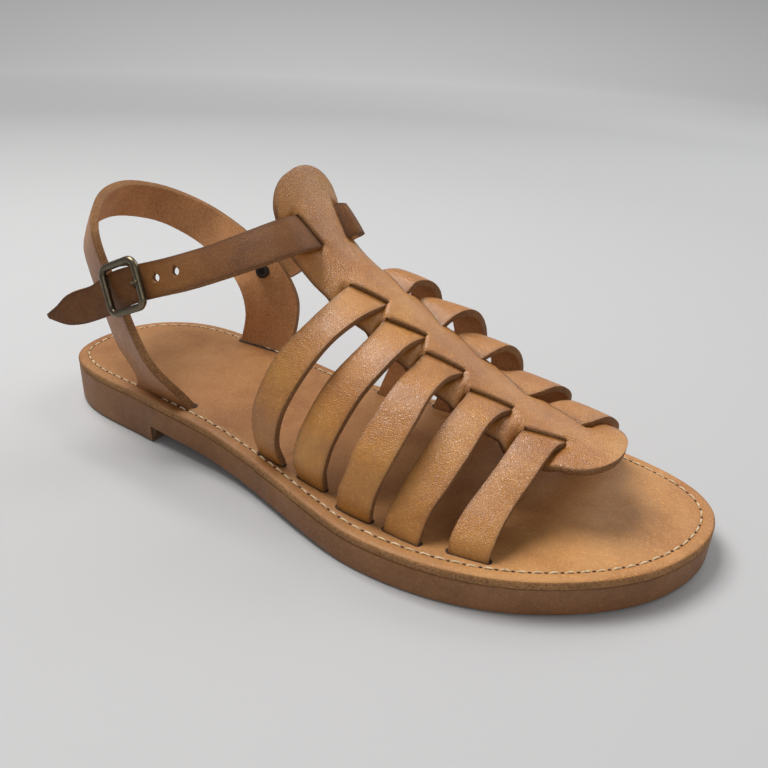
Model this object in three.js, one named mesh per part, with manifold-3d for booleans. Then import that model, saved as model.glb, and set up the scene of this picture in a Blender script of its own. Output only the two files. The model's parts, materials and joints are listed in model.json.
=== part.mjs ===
// Gladiator sandal, right foot, about EU 40: a stacked sole, an insole and an
// open upper of thin leather bands on the shape of the last.
// Units mm. x runs from the heel back (0) to the toe (258), y towards the
// inner (medial) side, z up from the ground.
import * as THREE from 'three';
import { mergeVertices } from 'three/addons/utils/BufferGeometryUtils.js';
import Module from 'manifold-3d';

const wasm = await Module();
wasm.setup();

// ---- driving dimensions -------------------------------------------------
const SOLE_STACK = 12.68;    // insole and outsole together at the forefoot
const INSOLE_T = 3.0;        // insole leather
const INSOLE_BEVEL = 0.9;    // rounded upper edge of the insole
const GAP = 0.3;             // clearance between pieces
const BREAST_X = 60;         // front face of the heel
const STRAP_T = 2.4;         // vamp straps, ankle strap and spine
const HEEL_STRAP_T = 3.0;
const SPINE_Y = 4;           // plane of the spine's centre line
const SPINE_HALF = 17.2;     // half the spine's width
const SPINE_R = 25;          // radius of the spine's section
const STRAP_SINK = 2.3;      // a strap runs this far below the spine's face between its slits
const BAR_R = 1.1;           // buckle wire
const CENTRE_BAR_R = 0.9;
const BUCKLE_LEN = 17.6;     // along the strap, wire centre to wire centre
const BUCKLE_H = 16.2;       // across the strap, wire centre to wire centre
const BUCKLE_CORNER = 3;
const CENTRE_BAR_DROP = 6.9; // centre bar below the plane of the frame
const TAB_T = 1.3;
const TAB_W = 8;
const PRONG_R = 0.75;
const RIVET_SHANK_R = 1.3;
const RIVET_HEAD_R = 3.0;

// Sole sections: x, outer (lateral) edge y, inner (medial) edge y
const SOLE = [
  [0.06, -5.3, -1.9], [0.63, -10.9, 4.1], [2.03, -16.0, 10.0], [4.53, -20.8, 16.0],
  [8.53, -24.9, 21.7], [16.00, -29.0, 27.9], [24.00, -31.4, 31.8], [34.00, -32.8, 34.0],
  [50.00, -34.0, 34.1], [65.00, -35.4, 33.3], [80.00, -36.3, 32.9], [95.00, -37.1, 32.8],
  [110.00, -39.5, 33.2], [125.00, -43.6, 34.7], [140.00, -48.0, 37.6], [155.00, -51.4, 41.7],
  [165.00, -52.6, 44.3], [175.00, -52.8, 46.0], [185.00, -52.0, 47.2], [195.00, -50.2, 47.9],
  [205.00, -47.2, 47.9], [215.00, -42.9, 47.0], [225.00, -36.9, 45.1], [233.00, -31.0, 42.9],
  [240.00, -24.6, 40.3], [246.00, -17.7, 37.1], [251.00, -9.8, 33.1], [255.00, -0.8, 27.9],
  [256.80, 5.3, 23.7], [257.60, 9.5, 20.3], [257.97, 13.6, 16.5],
].map(([x, lateral, medial]) => ({ x, lateral, medial }));

// Footbed profile: x, height of the insole's upper face
const BED = [
  [0, 19.37], [50, 19.37], [80, 18.33], [110, 15.33],
  [140, 14.44], [165, 12.68], [195, 12.68], [258, 13.23],
].map(([x, top]) => ({ x, top }));

// Spine centre line from the tab at the ankle to the toe: x, z, half width as
// a share of SPINE_HALF, drop of the section's edge as a share of the full arc
const SPINE = [
  [103.2, 106.4, 0.10, 0.4], [104.0, 105.2, 0.50, 0.4], [105.6, 102.4, 0.77, 0.4],
  [107.8, 98.5, 0.93, 0.42], [110.2, 94.3, 0.97, 0.5], [114.0, 88.6, 1, 0.7],
  [119.1, 83.2, 1, 0.9], [125.0, 78.8, 1, 1], [131.4, 75.0, 1, 1],
  [144.4, 68.1, 1, 1], [159.3, 59.6, 1, 0.96], [174.9, 51.2, 1, 0.88],
  [192.9, 43.0, 1, 0.78], [204, 39.6, 1, 0.66], [212.5, 38.1, 1, 0.48],
  [219.0, 37.5, 0.95, 0.36], [223.6, 37.2, 0.77, 0.28], [226.6, 37.0, 0.50, 0.22],
  [228.0, 36.9, 0.10, 0.2],
].map(([x, z, half, arc]) => ({ x, z, half, arc }));

// Vamp straps, outer face. Each row is one fold line across the strap from
// its rear edge to its front edge: rear x,y,z then front x,y,z. The first rows
// climb the outer side of the foot, 'under' is the pass below the spine and
// the last rows come down the inner side.
const VAMP = {
  s1: {
    outer: [[114.3, -35.7, 15.2, 126, -37.7, 14.9], [114, -38, 24, 126, -41, 23], [115, -39.3, 33, 127, -42, 30],
      [117, -38.8, 41, 129, -41.6, 38], [122, -34, 55, 134, -37, 51], [128, -25, 65, 139, -28, 62],
      [130.6, -14, 70.6, 142.7, -16, 67.3]],
    slit: [131.2, -6, 72.7, 144.4, -1.4, 67.9],
    inner: [[132.6, 17.5, 72.7, 145.3, 15.5, 70.9], [134.4, 24.5, 70.8, 147, 24, 69.2], [135.2, 31.3, 65.2, 147.7, 31.3, 62.8],
      [133.8, 34.2, 54, 146.6, 34.8, 52], [129.6, 33.2, 34, 142.4, 34, 33], [124.3, 29.8, 15, 136.6, 31.3, 14.6]],
  },
  s2: {
    outer: [[134, -39.3, 14.8, 145.6, -40.7, 14.3], [133.4, -41, 22, 146, -42, 21], [134, -40, 29, 147, -41, 28],
      [136, -38, 37, 149, -40, 35], [140, -30, 50, 153, -33, 48], [145, -20, 59, 157, -23, 57],
      [146, -12, 62.4, 158.8, -13, 60.7]],
    slit: [145.5, -7, 63.1, 159.2, -0.6, 59.7],
    inner: [[147.6, 17.5, 65, 161.6, 15, 62.8], [150.6, 25.5, 62.6, 164, 22.5, 63], [152.4, 32.3, 56.5, 165.2, 30, 58.6],
      [153, 36.3, 47.5, 165.6, 36.2, 48], [150.2, 37.2, 28, 162.9, 38, 29], [147.3, 34.8, 14.2, 159.6, 36.8, 13.6]],
  },
  s3: {
    outer: [[153.3, -44.4, 13.3, 165.9, -44.7, 12.7], [154, -45, 21, 167, -46, 19], [156, -44, 28, 168, -45, 25],
      [157.6, -41.6, 36.5, 170.6, -42.2, 34], [160, -32, 47, 173, -32, 46], [161, -23, 52.4, 173, -23, 51.2],
      [161, -12, 54.4, 173.3, -12, 53]],
    slit: [161, -6, 55.2, 174.7, -1.4, 51.5],
    inner: [[163.6, 17.5, 55.7, 177.2, 14.6, 53.2], [166.8, 25, 53.7, 179.4, 21.5, 53.7], [168.4, 32.3, 47.8, 180.8, 29.5, 49.4],
      [168.6, 37, 40, 181.2, 36.2, 41], [166.6, 39.2, 26, 179.4, 39.8, 27], [163.9, 38.4, 13, 176.3, 39.8, 12.7]],
  },
  s4: {
    outer: [[171, -45, 12.9, 183.6, -45.6, 12.7], [171.3, -43.4, 19, 184, -43, 18.4], [172.6, -39.6, 24.4, 185, -40.4, 23.6],
      [174, -34, 31, 187, -35, 29.6], [176, -25, 39, 189, -26, 37], [178, -15, 45, 190, -16, 43.2],
      [178.2, -9, 46.3, 191, -9, 44.4]],
    slit: [178, -6, 46.7, 192.4, -0.8, 43.4],
    inner: [[181, 17, 46.2, 195.8, 14.4, 43.6], [185, 25, 44.3, 198.6, 21.5, 43.6], [187.2, 31.8, 39.6, 200.2, 29, 40.4],
      [188, 37.2, 33.6, 200.7, 36, 34.6], [186, 41.2, 22.5, 198.6, 41, 23.5], [182.2, 41, 12.9, 194.7, 41.6, 12.7]],
  },
  s5: {
    outer: [[192.4, -43.1, 12.9, 204.8, -41, 12.9], [192, -41.6, 17, 205, -39.4, 17], [192.4, -35.6, 22.4, 205.2, -34.6, 22],
      [194, -27, 27.6, 206, -27, 26.8], [195.8, -19, 32.8, 207.6, -21, 31.6], [197, -12, 37.2, 209, -13, 36.4],
      [197.6, -8.4, 39, 210, -7, 38.2]],
    slit: [198, -5.8, 39.8, 211.6, -2, 39],
    inner: [[200, 17.5, 39.9, 214.4, 14.4, 38.4], [203.6, 25.5, 38, 217.4, 22, 37.8], [205.6, 32.3, 33.2, 218.8, 30, 33.2],
      [206.2, 37.5, 27.6, 219, 36.6, 27.6], [205.2, 41, 19, 217.6, 40.8, 19.5], [203.2, 41.6, 12.8, 215.6, 41, 12.9]],
  },
};

// Ankle strap, mid-surface, from the loose end behind the buckle, round the
// front of the ankle below the spine and back to the heel strap.
// Each row: upper edge x,y,z then lower edge x,y,z.
const ANKLE = {
  outer: [[22.2, -44.6, 47.9, 23.0, -44.2, 46.1], [28.2, -44.4, 52.6, 29.2, -42.0, 44.8], [33.6, -43.2, 57.6, 36.2, -40.6, 46.0],
    [44.5, -40.7, 62.8, 50.0, -39.7, 52.0], [50.8, -40.4, 66.9, 56.7, -40.0, 55.6], [57.3, -40.3, 70.8, 63.6, -41.1, 59.5],
    [66.2, -39.4, 74.4, 71.3, -41.5, 63.2], [76.5, -37.2, 77.8, 79.9, -41.4, 66.9], [85.1, -34.3, 80.8, 90, -41, 71.2],
    [93.7, -32.4, 84.4, 99.3, -39.3, 75.2], [100.8, -30.2, 87.8, 107.6, -36.4, 78.9], [106.3, -27.1, 90.6, 114.4, -32.3, 82],
    [110.2, -23, 92.6, 119.4, -26.8, 84.3], [112.2, -16.5, 93.6, 122.2, -18, 85.4]],
  slit: [110.3, -6.2, 93.2, 119.4, -2.6, 83.9],
  inner: [[111.6, 16.4, 92.2, 120.6, 15, 83.6], [109.4, 22.8, 90.3, 117.8, 22.6, 80.8], [102.3, 30, 86.2, 109.6, 31, 75.9],
    [90.2, 36.4, 80.2, 97, 37.4, 69.2], [78.0, 40.2, 71.2, 84.6, 40.2, 60.2], [66.8, 39.6, 61.6, 73.0, 38.8, 50.8],
    [58.6, 36.3, 56.9, 64.8, 35.0, 46.6], [51.3, 33.4, 52.9, 57.5, 31.2, 42.7]],
};

// Heel strap, mid-surface, from the outer side round the back of the heel to
// the inner side. Each row: rear or lower edge x,y,z then front or upper edge.
const HEEL = [
  [50, -29.4, 19.4, 77.6, -29.8, 18.6], [49.0, -28.4, 23.4, 67.0, -37.6, 35.7], [40.7, -29.1, 35.7, 56.9, -35.9, 46.6],
  [34.6, -28.7, 49.5, 50.5, -34.4, 57], [30.2, -28.6, 61.3, 44.6, -34.4, 68.7], [26.8, -27.3, 68.9, 38.2, -32, 79.1],
  [21, -21.4, 72.6, 29.6, -22.7, 85.7], [10, -9.1, 73.9, 18.4, -6.6, 87.7], [4.3, 7.8, 72.4, 12.5, 10.9, 86.3],
  [9.9, 22.9, 68, 17, 24.9, 82.3], [23.9, 28.9, 61.8, 30.4, 33.1, 76.4], [39, 29.2, 55.1, 46, 35.7, 69.5],
  [49.5, 27.9, 49, 59.4, 35.3, 62.7], [54.3, 27, 43.7, 69.6, 35.5, 56.1], [56.2, 27.2, 35, 78.3, 35.6, 41.6],
  [52, 29.3, 19.3, 77.4, 31.3, 18.4],
];

// Buckle: chord of the strap inside the frame, and the strap's upward edge
const BUCKLE_REAR = new THREE.Vector3(54.8, -40.45, 62.4);
const BUCKLE_FRONT = new THREE.Vector3(72.8, -39.95, 70.7);
const BUCKLE_ACROSS = new THREE.Vector3(-0.47, 0.16, 0.87);
const FRAME_RISE = 3.3;      // plane of the frame above the strap's chord
const PRONG_HOLE = 4.6;      // prong hole in front of the centre bar
const PUNCHED = [[77.1, -40.4, 72.5], [84.8, -38.9, 75.9]]; // spare adjusting holes
const PUNCH_R = 1.1;

// Rivet: where its axis meets the heel strap's mid-surface, and the axis
const RIVET_AT = new THREE.Vector3(62.6, 32.3, 52.7);
const RIVET_AXIS = new THREE.Vector3(-0.27, 0.92, -0.29).normalize();

// ---- geometry helpers ---------------------------------------------------
const V = (x, y, z) => new THREE.Vector3(x, y, z);
const UP = V(0, 0, 1);

function toManifold(geometry) {
  const g = geometry.clone();
  for (const n of Object.keys(g.attributes)) if (n !== 'position') g.deleteAttribute(n);
  const m = mergeVertices(g, 1e-4);
  return new wasm.Manifold(new wasm.Mesh({
    numProp: 3,
    vertProperties: new Float32Array(m.attributes.position.array),
    triVerts: new Uint32Array(m.index.array),
  }));
}

function toGeometry(solid) {
  const mesh = solid.getMesh();
  const g = new THREE.BufferGeometry();
  const p = new Float32Array(mesh.numVert * 3);
  for (let i = 0; i < mesh.numVert; i++)
    for (let k = 0; k < 3; k++) p[i * 3 + k] = mesh.vertProperties[i * mesh.numProp + k];
  g.setAttribute('position', new THREE.BufferAttribute(p, 3));
  g.setIndex([...mesh.triVerts]);
  return g;
}

// Skin through rings of equal count, closed by a fan at each end
function loft(rings, closed = false) {
  const k = rings[0].length, pos = [], idx = [];
  for (const ring of rings) for (const p of ring) pos.push(p.x, p.y, p.z);
  const last = closed ? rings.length : rings.length - 1;
  for (let i = 0; i < last; i++) {
    const a0 = i * k, b0 = ((i + 1) % rings.length) * k;
    for (let j = 0; j < k; j++) {
      const j1 = (j + 1) % k;
      idx.push(a0 + j, a0 + j1, b0 + j1, a0 + j, b0 + j1, b0 + j);
    }
  }
  if (!closed) {
    const e = (rings.length - 1) * k;
    for (let j = 1; j < k - 1; j++) { idx.push(0, j + 1, j); idx.push(e, e + j, e + j + 1); }
  }
  let vol = 0;
  const q = i => V(pos[i * 3], pos[i * 3 + 1], pos[i * 3 + 2]);
  for (let i = 0; i < idx.length; i += 3) vol += q(idx[i]).dot(q(idx[i + 1]).cross(q(idx[i + 2])));
  if (vol < 0) for (let i = 0; i < idx.length; i += 3) [idx[i + 1], idx[i + 2]] = [idx[i + 2], idx[i + 1]];
  const g = new THREE.BufferGeometry();
  g.setAttribute('position', new THREE.BufferAttribute(new Float32Array(pos), 3));
  g.setIndex(idx);
  return toManifold(g);
}

// Monotone cubic through table rows
function curve(rows, key, value) {
  const n = rows.length, x = rows.map(r => r[key]), y = rows.map(r => r[value]);
  const d = [], m = [];
  for (let i = 0; i < n - 1; i++) d.push((y[i + 1] - y[i]) / (x[i + 1] - x[i]));
  for (let i = 0; i < n; i++) {
    if (i === 0) m.push(d[0]);
    else if (i === n - 1) m.push(d[n - 2]);
    else if (d[i - 1] * d[i] <= 0) m.push(0);
    else {
      const h0 = x[i] - x[i - 1], h1 = x[i + 1] - x[i], w1 = 2 * h1 + h0, w2 = h1 + 2 * h0;
      m.push((w1 + w2) / (w1 / d[i - 1] + w2 / d[i]));
    }
  }
  return t => {
    let i = 0;
    while (i < n - 2 && t > x[i + 1]) i++;
    const h = x[i + 1] - x[i], s = Math.min(1, Math.max(0, (t - x[i]) / h));
    return (1 + 2 * s) * (1 - s) ** 2 * y[i] + s * (1 - s) ** 2 * h * m[i]
      + s * s * (3 - 2 * s) * y[i + 1] + s * s * (s - 1) * h * m[i + 1];
  };
}

// ---- sole ---------------------------------------------------------------
const lateral = curve(SOLE, 'x', 'lateral');
const medial = curve(SOLE, 'x', 'medial');
const bed = curve(BED, 'x', 'top');
const ground = x => (x < BREAST_X ? 0 : Math.max(bed(x) - SOLE_STACK, 0));

function soleStations() {
  const xs = [];
  for (let i = 0; i < SOLE.length - 1; i++) {
    const a = SOLE[i].x, b = SOLE[i + 1].x, parts = Math.max(1, Math.round((b - a) / 5));
    for (let k = 0; k < parts; k++) xs.push(a + (b - a) * k / parts);
  }
  xs.push(SOLE[SOLE.length - 1].x);
  return xs;
}

function outsole() {
  const xs = soleStations().filter(x => Math.abs(x - BREAST_X) > 1);
  xs.push(BREAST_X - 0.05, BREAST_X + 0.05);
  xs.sort((a, b) => a - b);
  return loft(xs.map(x => {
    const z1 = bed(x) - INSOLE_T - GAP, z0 = ground(x);
    return [V(x, lateral(x), z0), V(x, medial(x), z0), V(x, medial(x), z1), V(x, lateral(x), z1)];
  }));
}

function insole() {
  return loft(soleStations().map(x => {
    const z = bed(x), z0 = z - INSOLE_T, l = lateral(x), m = medial(x);
    const b = Math.min(INSOLE_BEVEL, (m - l) / 4);
    return [V(x, l, z0), V(x, m, z0), V(x, m, z - b), V(x, m - 0.3 * b, z - 0.3 * b), V(x, m - b, z),
      V(x, l + b, z), V(x, l + 0.3 * b, z - 0.3 * b), V(x, l, z - b)];
  }));
}

// ---- bands --------------------------------------------------------------
const edges = rows => rows.map(r => ({ a: V(r[0], r[1], r[2]), b: V(r[3], r[4], r[5]) }));

// Leather band through fold rows; 'face' shifts the rows inward when they
// give the outer face, grow widens it all round to cut a clearance slot
function band(rows, { thick, steps, face = 0, grow = 0 }) {
  const ca = new THREE.CatmullRomCurve3(rows.map(r => r.a), false, 'centripetal');
  const cb = new THREE.CatmullRomCurve3(rows.map(r => r.b), false, 'centripetal');
  const at = t => ({ a: ca.getPoint(t), b: cb.getPoint(t) });
  const rings = [];
  for (let i = 0; i <= steps; i++) {
    const t = i / steps, { a, b } = at(t);
    const p = at(Math.max(0, t - 0.004)), q = at(Math.min(1, t + 0.004));
    const across = b.clone().sub(a).normalize();
    const along = q.a.clone().add(q.b).sub(p.a).sub(p.b).normalize();
    const n = across.clone().cross(along).normalize();
    const h = thick / 2 + grow, o = n.clone().multiplyScalar(-face * thick / 2);
    const A = a.clone().add(o).addScaledVector(across, -grow), B = b.clone().add(o).addScaledVector(across, grow);
    rings.push([A.clone().addScaledVector(n, h), B.clone().addScaledVector(n, h),
      B.clone().addScaledVector(n, -h), A.clone().addScaledVector(n, -h)]);
  }
  return loft(rings);
}

// Continue a strap straight down into the insole from its first or last row
function foot(row, depth) {
  return { a: V(row.a.x, row.a.y, row.a.z - depth), b: V(row.b.x, row.b.y, row.b.z - depth) };
}

const footDepth = INSOLE_T - 0.2;

// Spine frame at x: point on the outer face and its normal
const spineZ = curve(SPINE, 'x', 'z');
function spineFrame(x) {
  const z = spineZ(x), s = (spineZ(x + 0.3) - spineZ(x - 0.3)) / 0.6;
  return { p: V(x, SPINE_Y, z), n: V(-s, 0, 1).normalize() };
}

function spine() {
  const path = new THREE.CatmullRomCurve3(SPINE.map(r => V(r.x, SPINE_Y, r.z)), false, 'centripetal');
  const half = SPINE.map(r => ({ t: 0, half: r.half, arc: r.arc }));
  const rows = [], sub = 2, cols = 10;
  const at = (i, f, key) => half[i][key] * (1 - f) + half[Math.min(i + 1, half.length - 1)][key] * f;
  for (let i = 0; i < SPINE.length; i++)
    for (let k = 0; k < (i < SPINE.length - 1 ? sub : 1); k++) {
      const f = k / sub, u = (i + f) / (SPINE.length - 1);
      const c = path.getPoint(u), t = path.getTangent(u), n = V(-t.z, 0, t.x).normalize();
      const w = SPINE_HALF * at(i, f, 'half'), arc = at(i, f, 'arc');
      const outer = [], inner = [];
      for (let j = 0; j <= cols; j++) {
        const v = w * (2 * j / cols - 1), sag = arc * (SPINE_R - Math.sqrt(SPINE_R ** 2 - v * v));
        const lean = arc * v / SPINE_R;
        const p = V(c.x, c.y + v, c.z).addScaledVector(n, -sag);
        const m = n.clone().add(V(0, lean, 0)).normalize();
        outer.push(p);
        inner.unshift(p.clone().addScaledVector(m, -STRAP_T));
      }
      rows.push([...outer, ...inner]);
    }
  return loft(rows);
}

function vampRows(s) {
  const pick = (r, d) => {
    const fa = spineFrame(r[0]), fb = spineFrame(r[3]);
    return { a: fa.p.addScaledVector(fa.n, -d), b: fb.p.addScaledVector(fb.n, -d) };
  };
  const outer = edges(s.outer), inner = edges(s.inner), slit = edges([s.slit])[0];
  const under = pick(s.slit, STRAP_SINK);
  const mirror = p => V(p.x, 2 * SPINE_Y - p.y, p.z);
  const far = { a: mirror(slit.a), b: mirror(slit.b) };
  return [...outer, slit, under, far, ...inner];
}

function vampStrap(s) {
  const rows = vampRows(s);
  const down = [foot(rows[0], footDepth), ...rows, foot(rows[rows.length - 1], footDepth)];
  return band(down, { thick: STRAP_T, steps: 44, face: 1 });
}

// Short clearance cut that follows the strap itself through the insole
function clearance(rows, thick, face) {
  const start = [foot(rows[0], INSOLE_T + 1.5), rows[0], rows[1]];
  const ca = new THREE.CatmullRomCurve3(start.map(r => r.a), false, 'centripetal');
  const cb = new THREE.CatmullRomCurve3(start.map(r => r.b), false, 'centripetal');
  const cut = [0, 0.25, 0.5, 0.6, 0.7].map(t => ({ a: ca.getPoint(t), b: cb.getPoint(t) }));
  return band(cut, { thick, steps: 10, face, grow: GAP });
}

function ankleRows() {
  const outer = edges(ANKLE.outer), inner = edges(ANKLE.inner), slit = edges([ANKLE.slit])[0];
  const fa = spineFrame(slit.a.x), fb = spineFrame(slit.b.x), d = STRAP_SINK + STRAP_T / 2;
  const under = { a: fa.p.addScaledVector(fa.n, -d), b: fb.p.addScaledVector(fb.n, -d) };
  const mirror = p => V(p.x, 2 * SPINE_Y - p.y, p.z);
  return [...outer, slit, under, { a: mirror(slit.a), b: mirror(slit.b) }, ...inner];
}

// ---- buckle -------------------------------------------------------------
const along = BUCKLE_FRONT.clone().sub(BUCKLE_REAR).normalize();
const across = BUCKLE_ACROSS.clone().addScaledVector(along, -BUCKLE_ACROSS.dot(along)).normalize();
const outward = along.clone().cross(across).normalize();
const chord = BUCKLE_FRONT.clone().add(BUCKLE_REAR).multiplyScalar(0.5);
const buckle = (a, b, c) => chord.clone().addScaledVector(along, a).addScaledVector(across, b).addScaledVector(outward, c);

function tube(points, r, sides = 10, closed = false) {
  const n = points.length, rings = [];
  let u = null;
  for (let i = 0; i < n; i++) {
    const p = points[closed ? (i - 1 + n) % n : Math.max(0, i - 1)], q = points[closed ? (i + 1) % n : Math.min(n - 1, i + 1)];
    const t = q.clone().sub(p).normalize();
    if (!u) u = (Math.abs(t.z) < 0.8 ? UP.clone() : V(0, 1, 0));
    u.addScaledVector(t, -u.dot(t)).normalize();
    const w = t.clone().cross(u), ring = [];
    const rad = typeof r === 'function' ? r(i / (n - 1)) : r;
    for (let k = 0; k < sides; k++) {
      const f = 2 * Math.PI * k / sides;
      ring.push(points[i].clone().addScaledVector(u, rad * Math.cos(f)).addScaledVector(w, rad * Math.sin(f)));
    }
    rings.push(ring);
  }
  return loft(rings, closed);
}

function buckleFrame() {
  const L = BUCKLE_LEN / 2, H = BUCKLE_H / 2, R = BUCKLE_CORNER, pts = [];
  for (const [cx, cy, a0] of [[L - R, H - R, 0], [-L + R, H - R, 90], [-L + R, -H + R, 180], [L - R, -H + R, 270]])
    for (let k = 0; k <= 5; k++) {
      const f = (a0 + 18 * k) * Math.PI / 180;
      pts.push(buckle(cx + R * Math.cos(f), cy + R * Math.sin(f), FRAME_RISE));
    }
  const d = CENTRE_BAR_DROP, b = H - 0.2, staple = [];
  for (const [y, z] of [[-b, 0], [-b, -d + 1.4], [-b + 0.5, -d + 0.4], [-b + 1.5, -d], [0, -d],
    [b - 1.5, -d], [b - 0.5, -d + 0.4], [b, -d + 1.4], [b, 0]]) staple.push(buckle(0, y, FRAME_RISE + z));
  return tube(pts, BAR_R, 10, true).add(tube(staple, CENTRE_BAR_R, 10));
}

function buckleProng() {
  const c0 = FRAME_RISE - CENTRE_BAR_DROP, rr = CENTRE_BAR_R + GAP + PRONG_R;
  const ring = [];
  for (let k = 0; k < 18; k++) {
    const f = 2 * Math.PI * k / 18;
    ring.push(buckle(rr * Math.cos(f), 0, c0 + rr * Math.sin(f)));
  }
  const L = BUCKLE_LEN / 2, top = FRAME_RISE + BAR_R + PRONG_R + 0.15;
  const arm = new THREE.CatmullRomCurve3([[rr * 0.7, c0 + rr * 0.7], [3.2, -1.9], [PRONG_HOLE - 0.4, -0.6], [PRONG_HOLE + 0.5, 1.6],
    [6.6, top - 1.1], [L - 0.4, top], [L + 1.5, top - 0.25]].map(([a, c]) => buckle(a, 0, c)), false, 'centripetal').getPoints(18);
  return tube(ring, PRONG_R, 8, true).add(tube(arm, t => PRONG_R * (1 - 0.45 * t), 8));
}

function buckleTab() {
  const c0 = FRAME_RISE - CENTRE_BAR_DROP, r1 = CENTRE_BAR_R + GAP, r2 = r1 + 0.95, w = TAB_W / 2;
  const loop = tube([buckle(0, -w, c0), buckle(0, w, c0)], r2, 20);
  const centre = [buckle(-r1 - 0.5, 0, c0), V(57, -37.2, 62.9), V(51, -37.05, 60.2), V(47.2, -37.35, 58.5)];
  const tail = band(centre.map((p, i) => ({
    a: p.clone().addScaledVector(across, w), b: p.clone().addScaledVector(across, -w),
  })), { thick: TAB_T, steps: 14 });
  const bore = tube([buckle(0, -w - 2, c0), buckle(0, w + 2, c0)], r1, 20);
  const hw = PRONG_R + 0.4;
  const disc = tube([buckle(0, -hw, c0), buckle(0, hw, c0)], CENTRE_BAR_R + 2 * GAP + 2 * PRONG_R + 0.2, 20);
  const gate = box(buckle(2.4, 0, c0 + 1.2), 4.8, 2 * hw, 4.2);
  return loop.add(tail).subtract(bore).subtract(disc).subtract(gate);
}

function box(c, la, lb, lc) {
  const ring = s => [[-1, -1], [1, -1], [1, 1], [-1, 1]].map(([i, j]) =>
    c.clone().addScaledVector(along, s * la / 2).addScaledVector(across, i * lb / 2).addScaledVector(outward, j * lc / 2));
  return loft([ring(-1), ring(1)]);
}

// ---- rivet --------------------------------------------------------------
function revolve(profile, at, axis, sides = 20) {
  const g = new THREE.LatheGeometry(profile.map(([r, h]) => new THREE.Vector2(r, h)), sides);
  g.applyQuaternion(new THREE.Quaternion().setFromUnitVectors(V(0, 1, 0), axis));
  g.translate(at.x, at.y, at.z);
  return toManifold(g);
}

function rivet() {
  const h = HEEL_STRAP_T / 2, a = h + GAP, b = h + GAP + STRAP_T + 0.75, R = RIVET_HEAD_R, s = RIVET_SHANK_R;
  return revolve([[0, -a - 1.5], [R * 0.6, -a - 1.35], [R, -a - 0.7], [R, -a], [s, -a], [s, b], [R, b],
    [R, b + 0.7], [R * 0.6, b + 1.3], [0, b + 1.5]], RIVET_AT, RIVET_AXIS);
}

const rivetHole = () => revolve([[0, -8], [RIVET_SHANK_R + GAP, -8], [RIVET_SHANK_R + GAP, 10], [0, 10]], RIVET_AT, RIVET_AXIS, 16);

// ---- assembly -----------------------------------------------------------
const vamp = Object.values(VAMP);
const ankle = ankleRows();
const heel = edges(HEEL);
const heelLong = [foot(heel[0], footDepth), ...heel, foot(heel[heel.length - 1], footDepth)];

let bedSolid = insole();
for (const s of vamp) {
  const rows = vampRows(s);
  bedSolid = bedSolid.subtract(clearance(rows, STRAP_T, 1)).subtract(clearance([...rows].reverse(), STRAP_T, -1));
}
bedSolid = bedSolid.subtract(clearance(heel, HEEL_STRAP_T, 0)).subtract(clearance([...heel].reverse(), HEEL_STRAP_T, 0));

let upperSolid = spine();
for (const s of vamp) upperSolid = upperSolid.add(vampStrap(s));
upperSolid = upperSolid.add(band(ankle, { thick: STRAP_T, steps: 72 }));
const prongAt = buckle(PRONG_HOLE, 0, 0);
upperSolid = upperSolid.subtract(revolve([[0, -4], [1.9, -4], [1.9, 5], [0, 5]], prongAt, outward, 14));
for (const [x, y, z] of PUNCHED)
  upperSolid = upperSolid.subtract(revolve([[0, -4], [PUNCH_R, -4], [PUNCH_R, 4], [0, 4]], V(x, y, z), outward, 10));
upperSolid = upperSolid.subtract(rivetHole());

const heelSolid = band(heelLong, { thick: HEEL_STRAP_T, steps: 64 }).subtract(rivetHole());

const group = new THREE.Group();
group.name = 'gladiator_sandal';
function piece(name, solid, color, metal = 0) {
  const mesh = new THREE.Mesh(toGeometry(solid), new THREE.MeshStandardMaterial({
    name, color, metalness: metal, roughness: metal ? 0.45 : 0.7 }));
  mesh.name = name;
  group.add(mesh);
  return mesh;
}
piece('outsole', outsole(), 0x8a5a34);
piece('insole', bedSolid, 0xb9854c);
piece('upper', upperSolid, 0xb57a3e);
piece('heel_strap', heelSolid, 0xa9713a);
piece('buckle_frame', buckleFrame(), 0x4a3a28, 1);
piece('buckle_prong', buckleProng(), 0x4a3a28, 1);
piece('buckle_tab', buckleTab(), 0x9a6533);
piece('rivet', rivet(), 0x4a3a28, 1);

// Origin at the centre of the bounding box, on the ground
const bounds = new THREE.Box3().setFromObject(group);
const mid = bounds.getCenter(V(0, 0, 0));
for (const m of group.children) m.geometry.translate(-mid.x, -mid.y, -bounds.min.z);

export default group;
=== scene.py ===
import bpy
import bmesh
import json
import math
import numpy as np
from mathutils import Vector, Matrix, geometry

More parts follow.
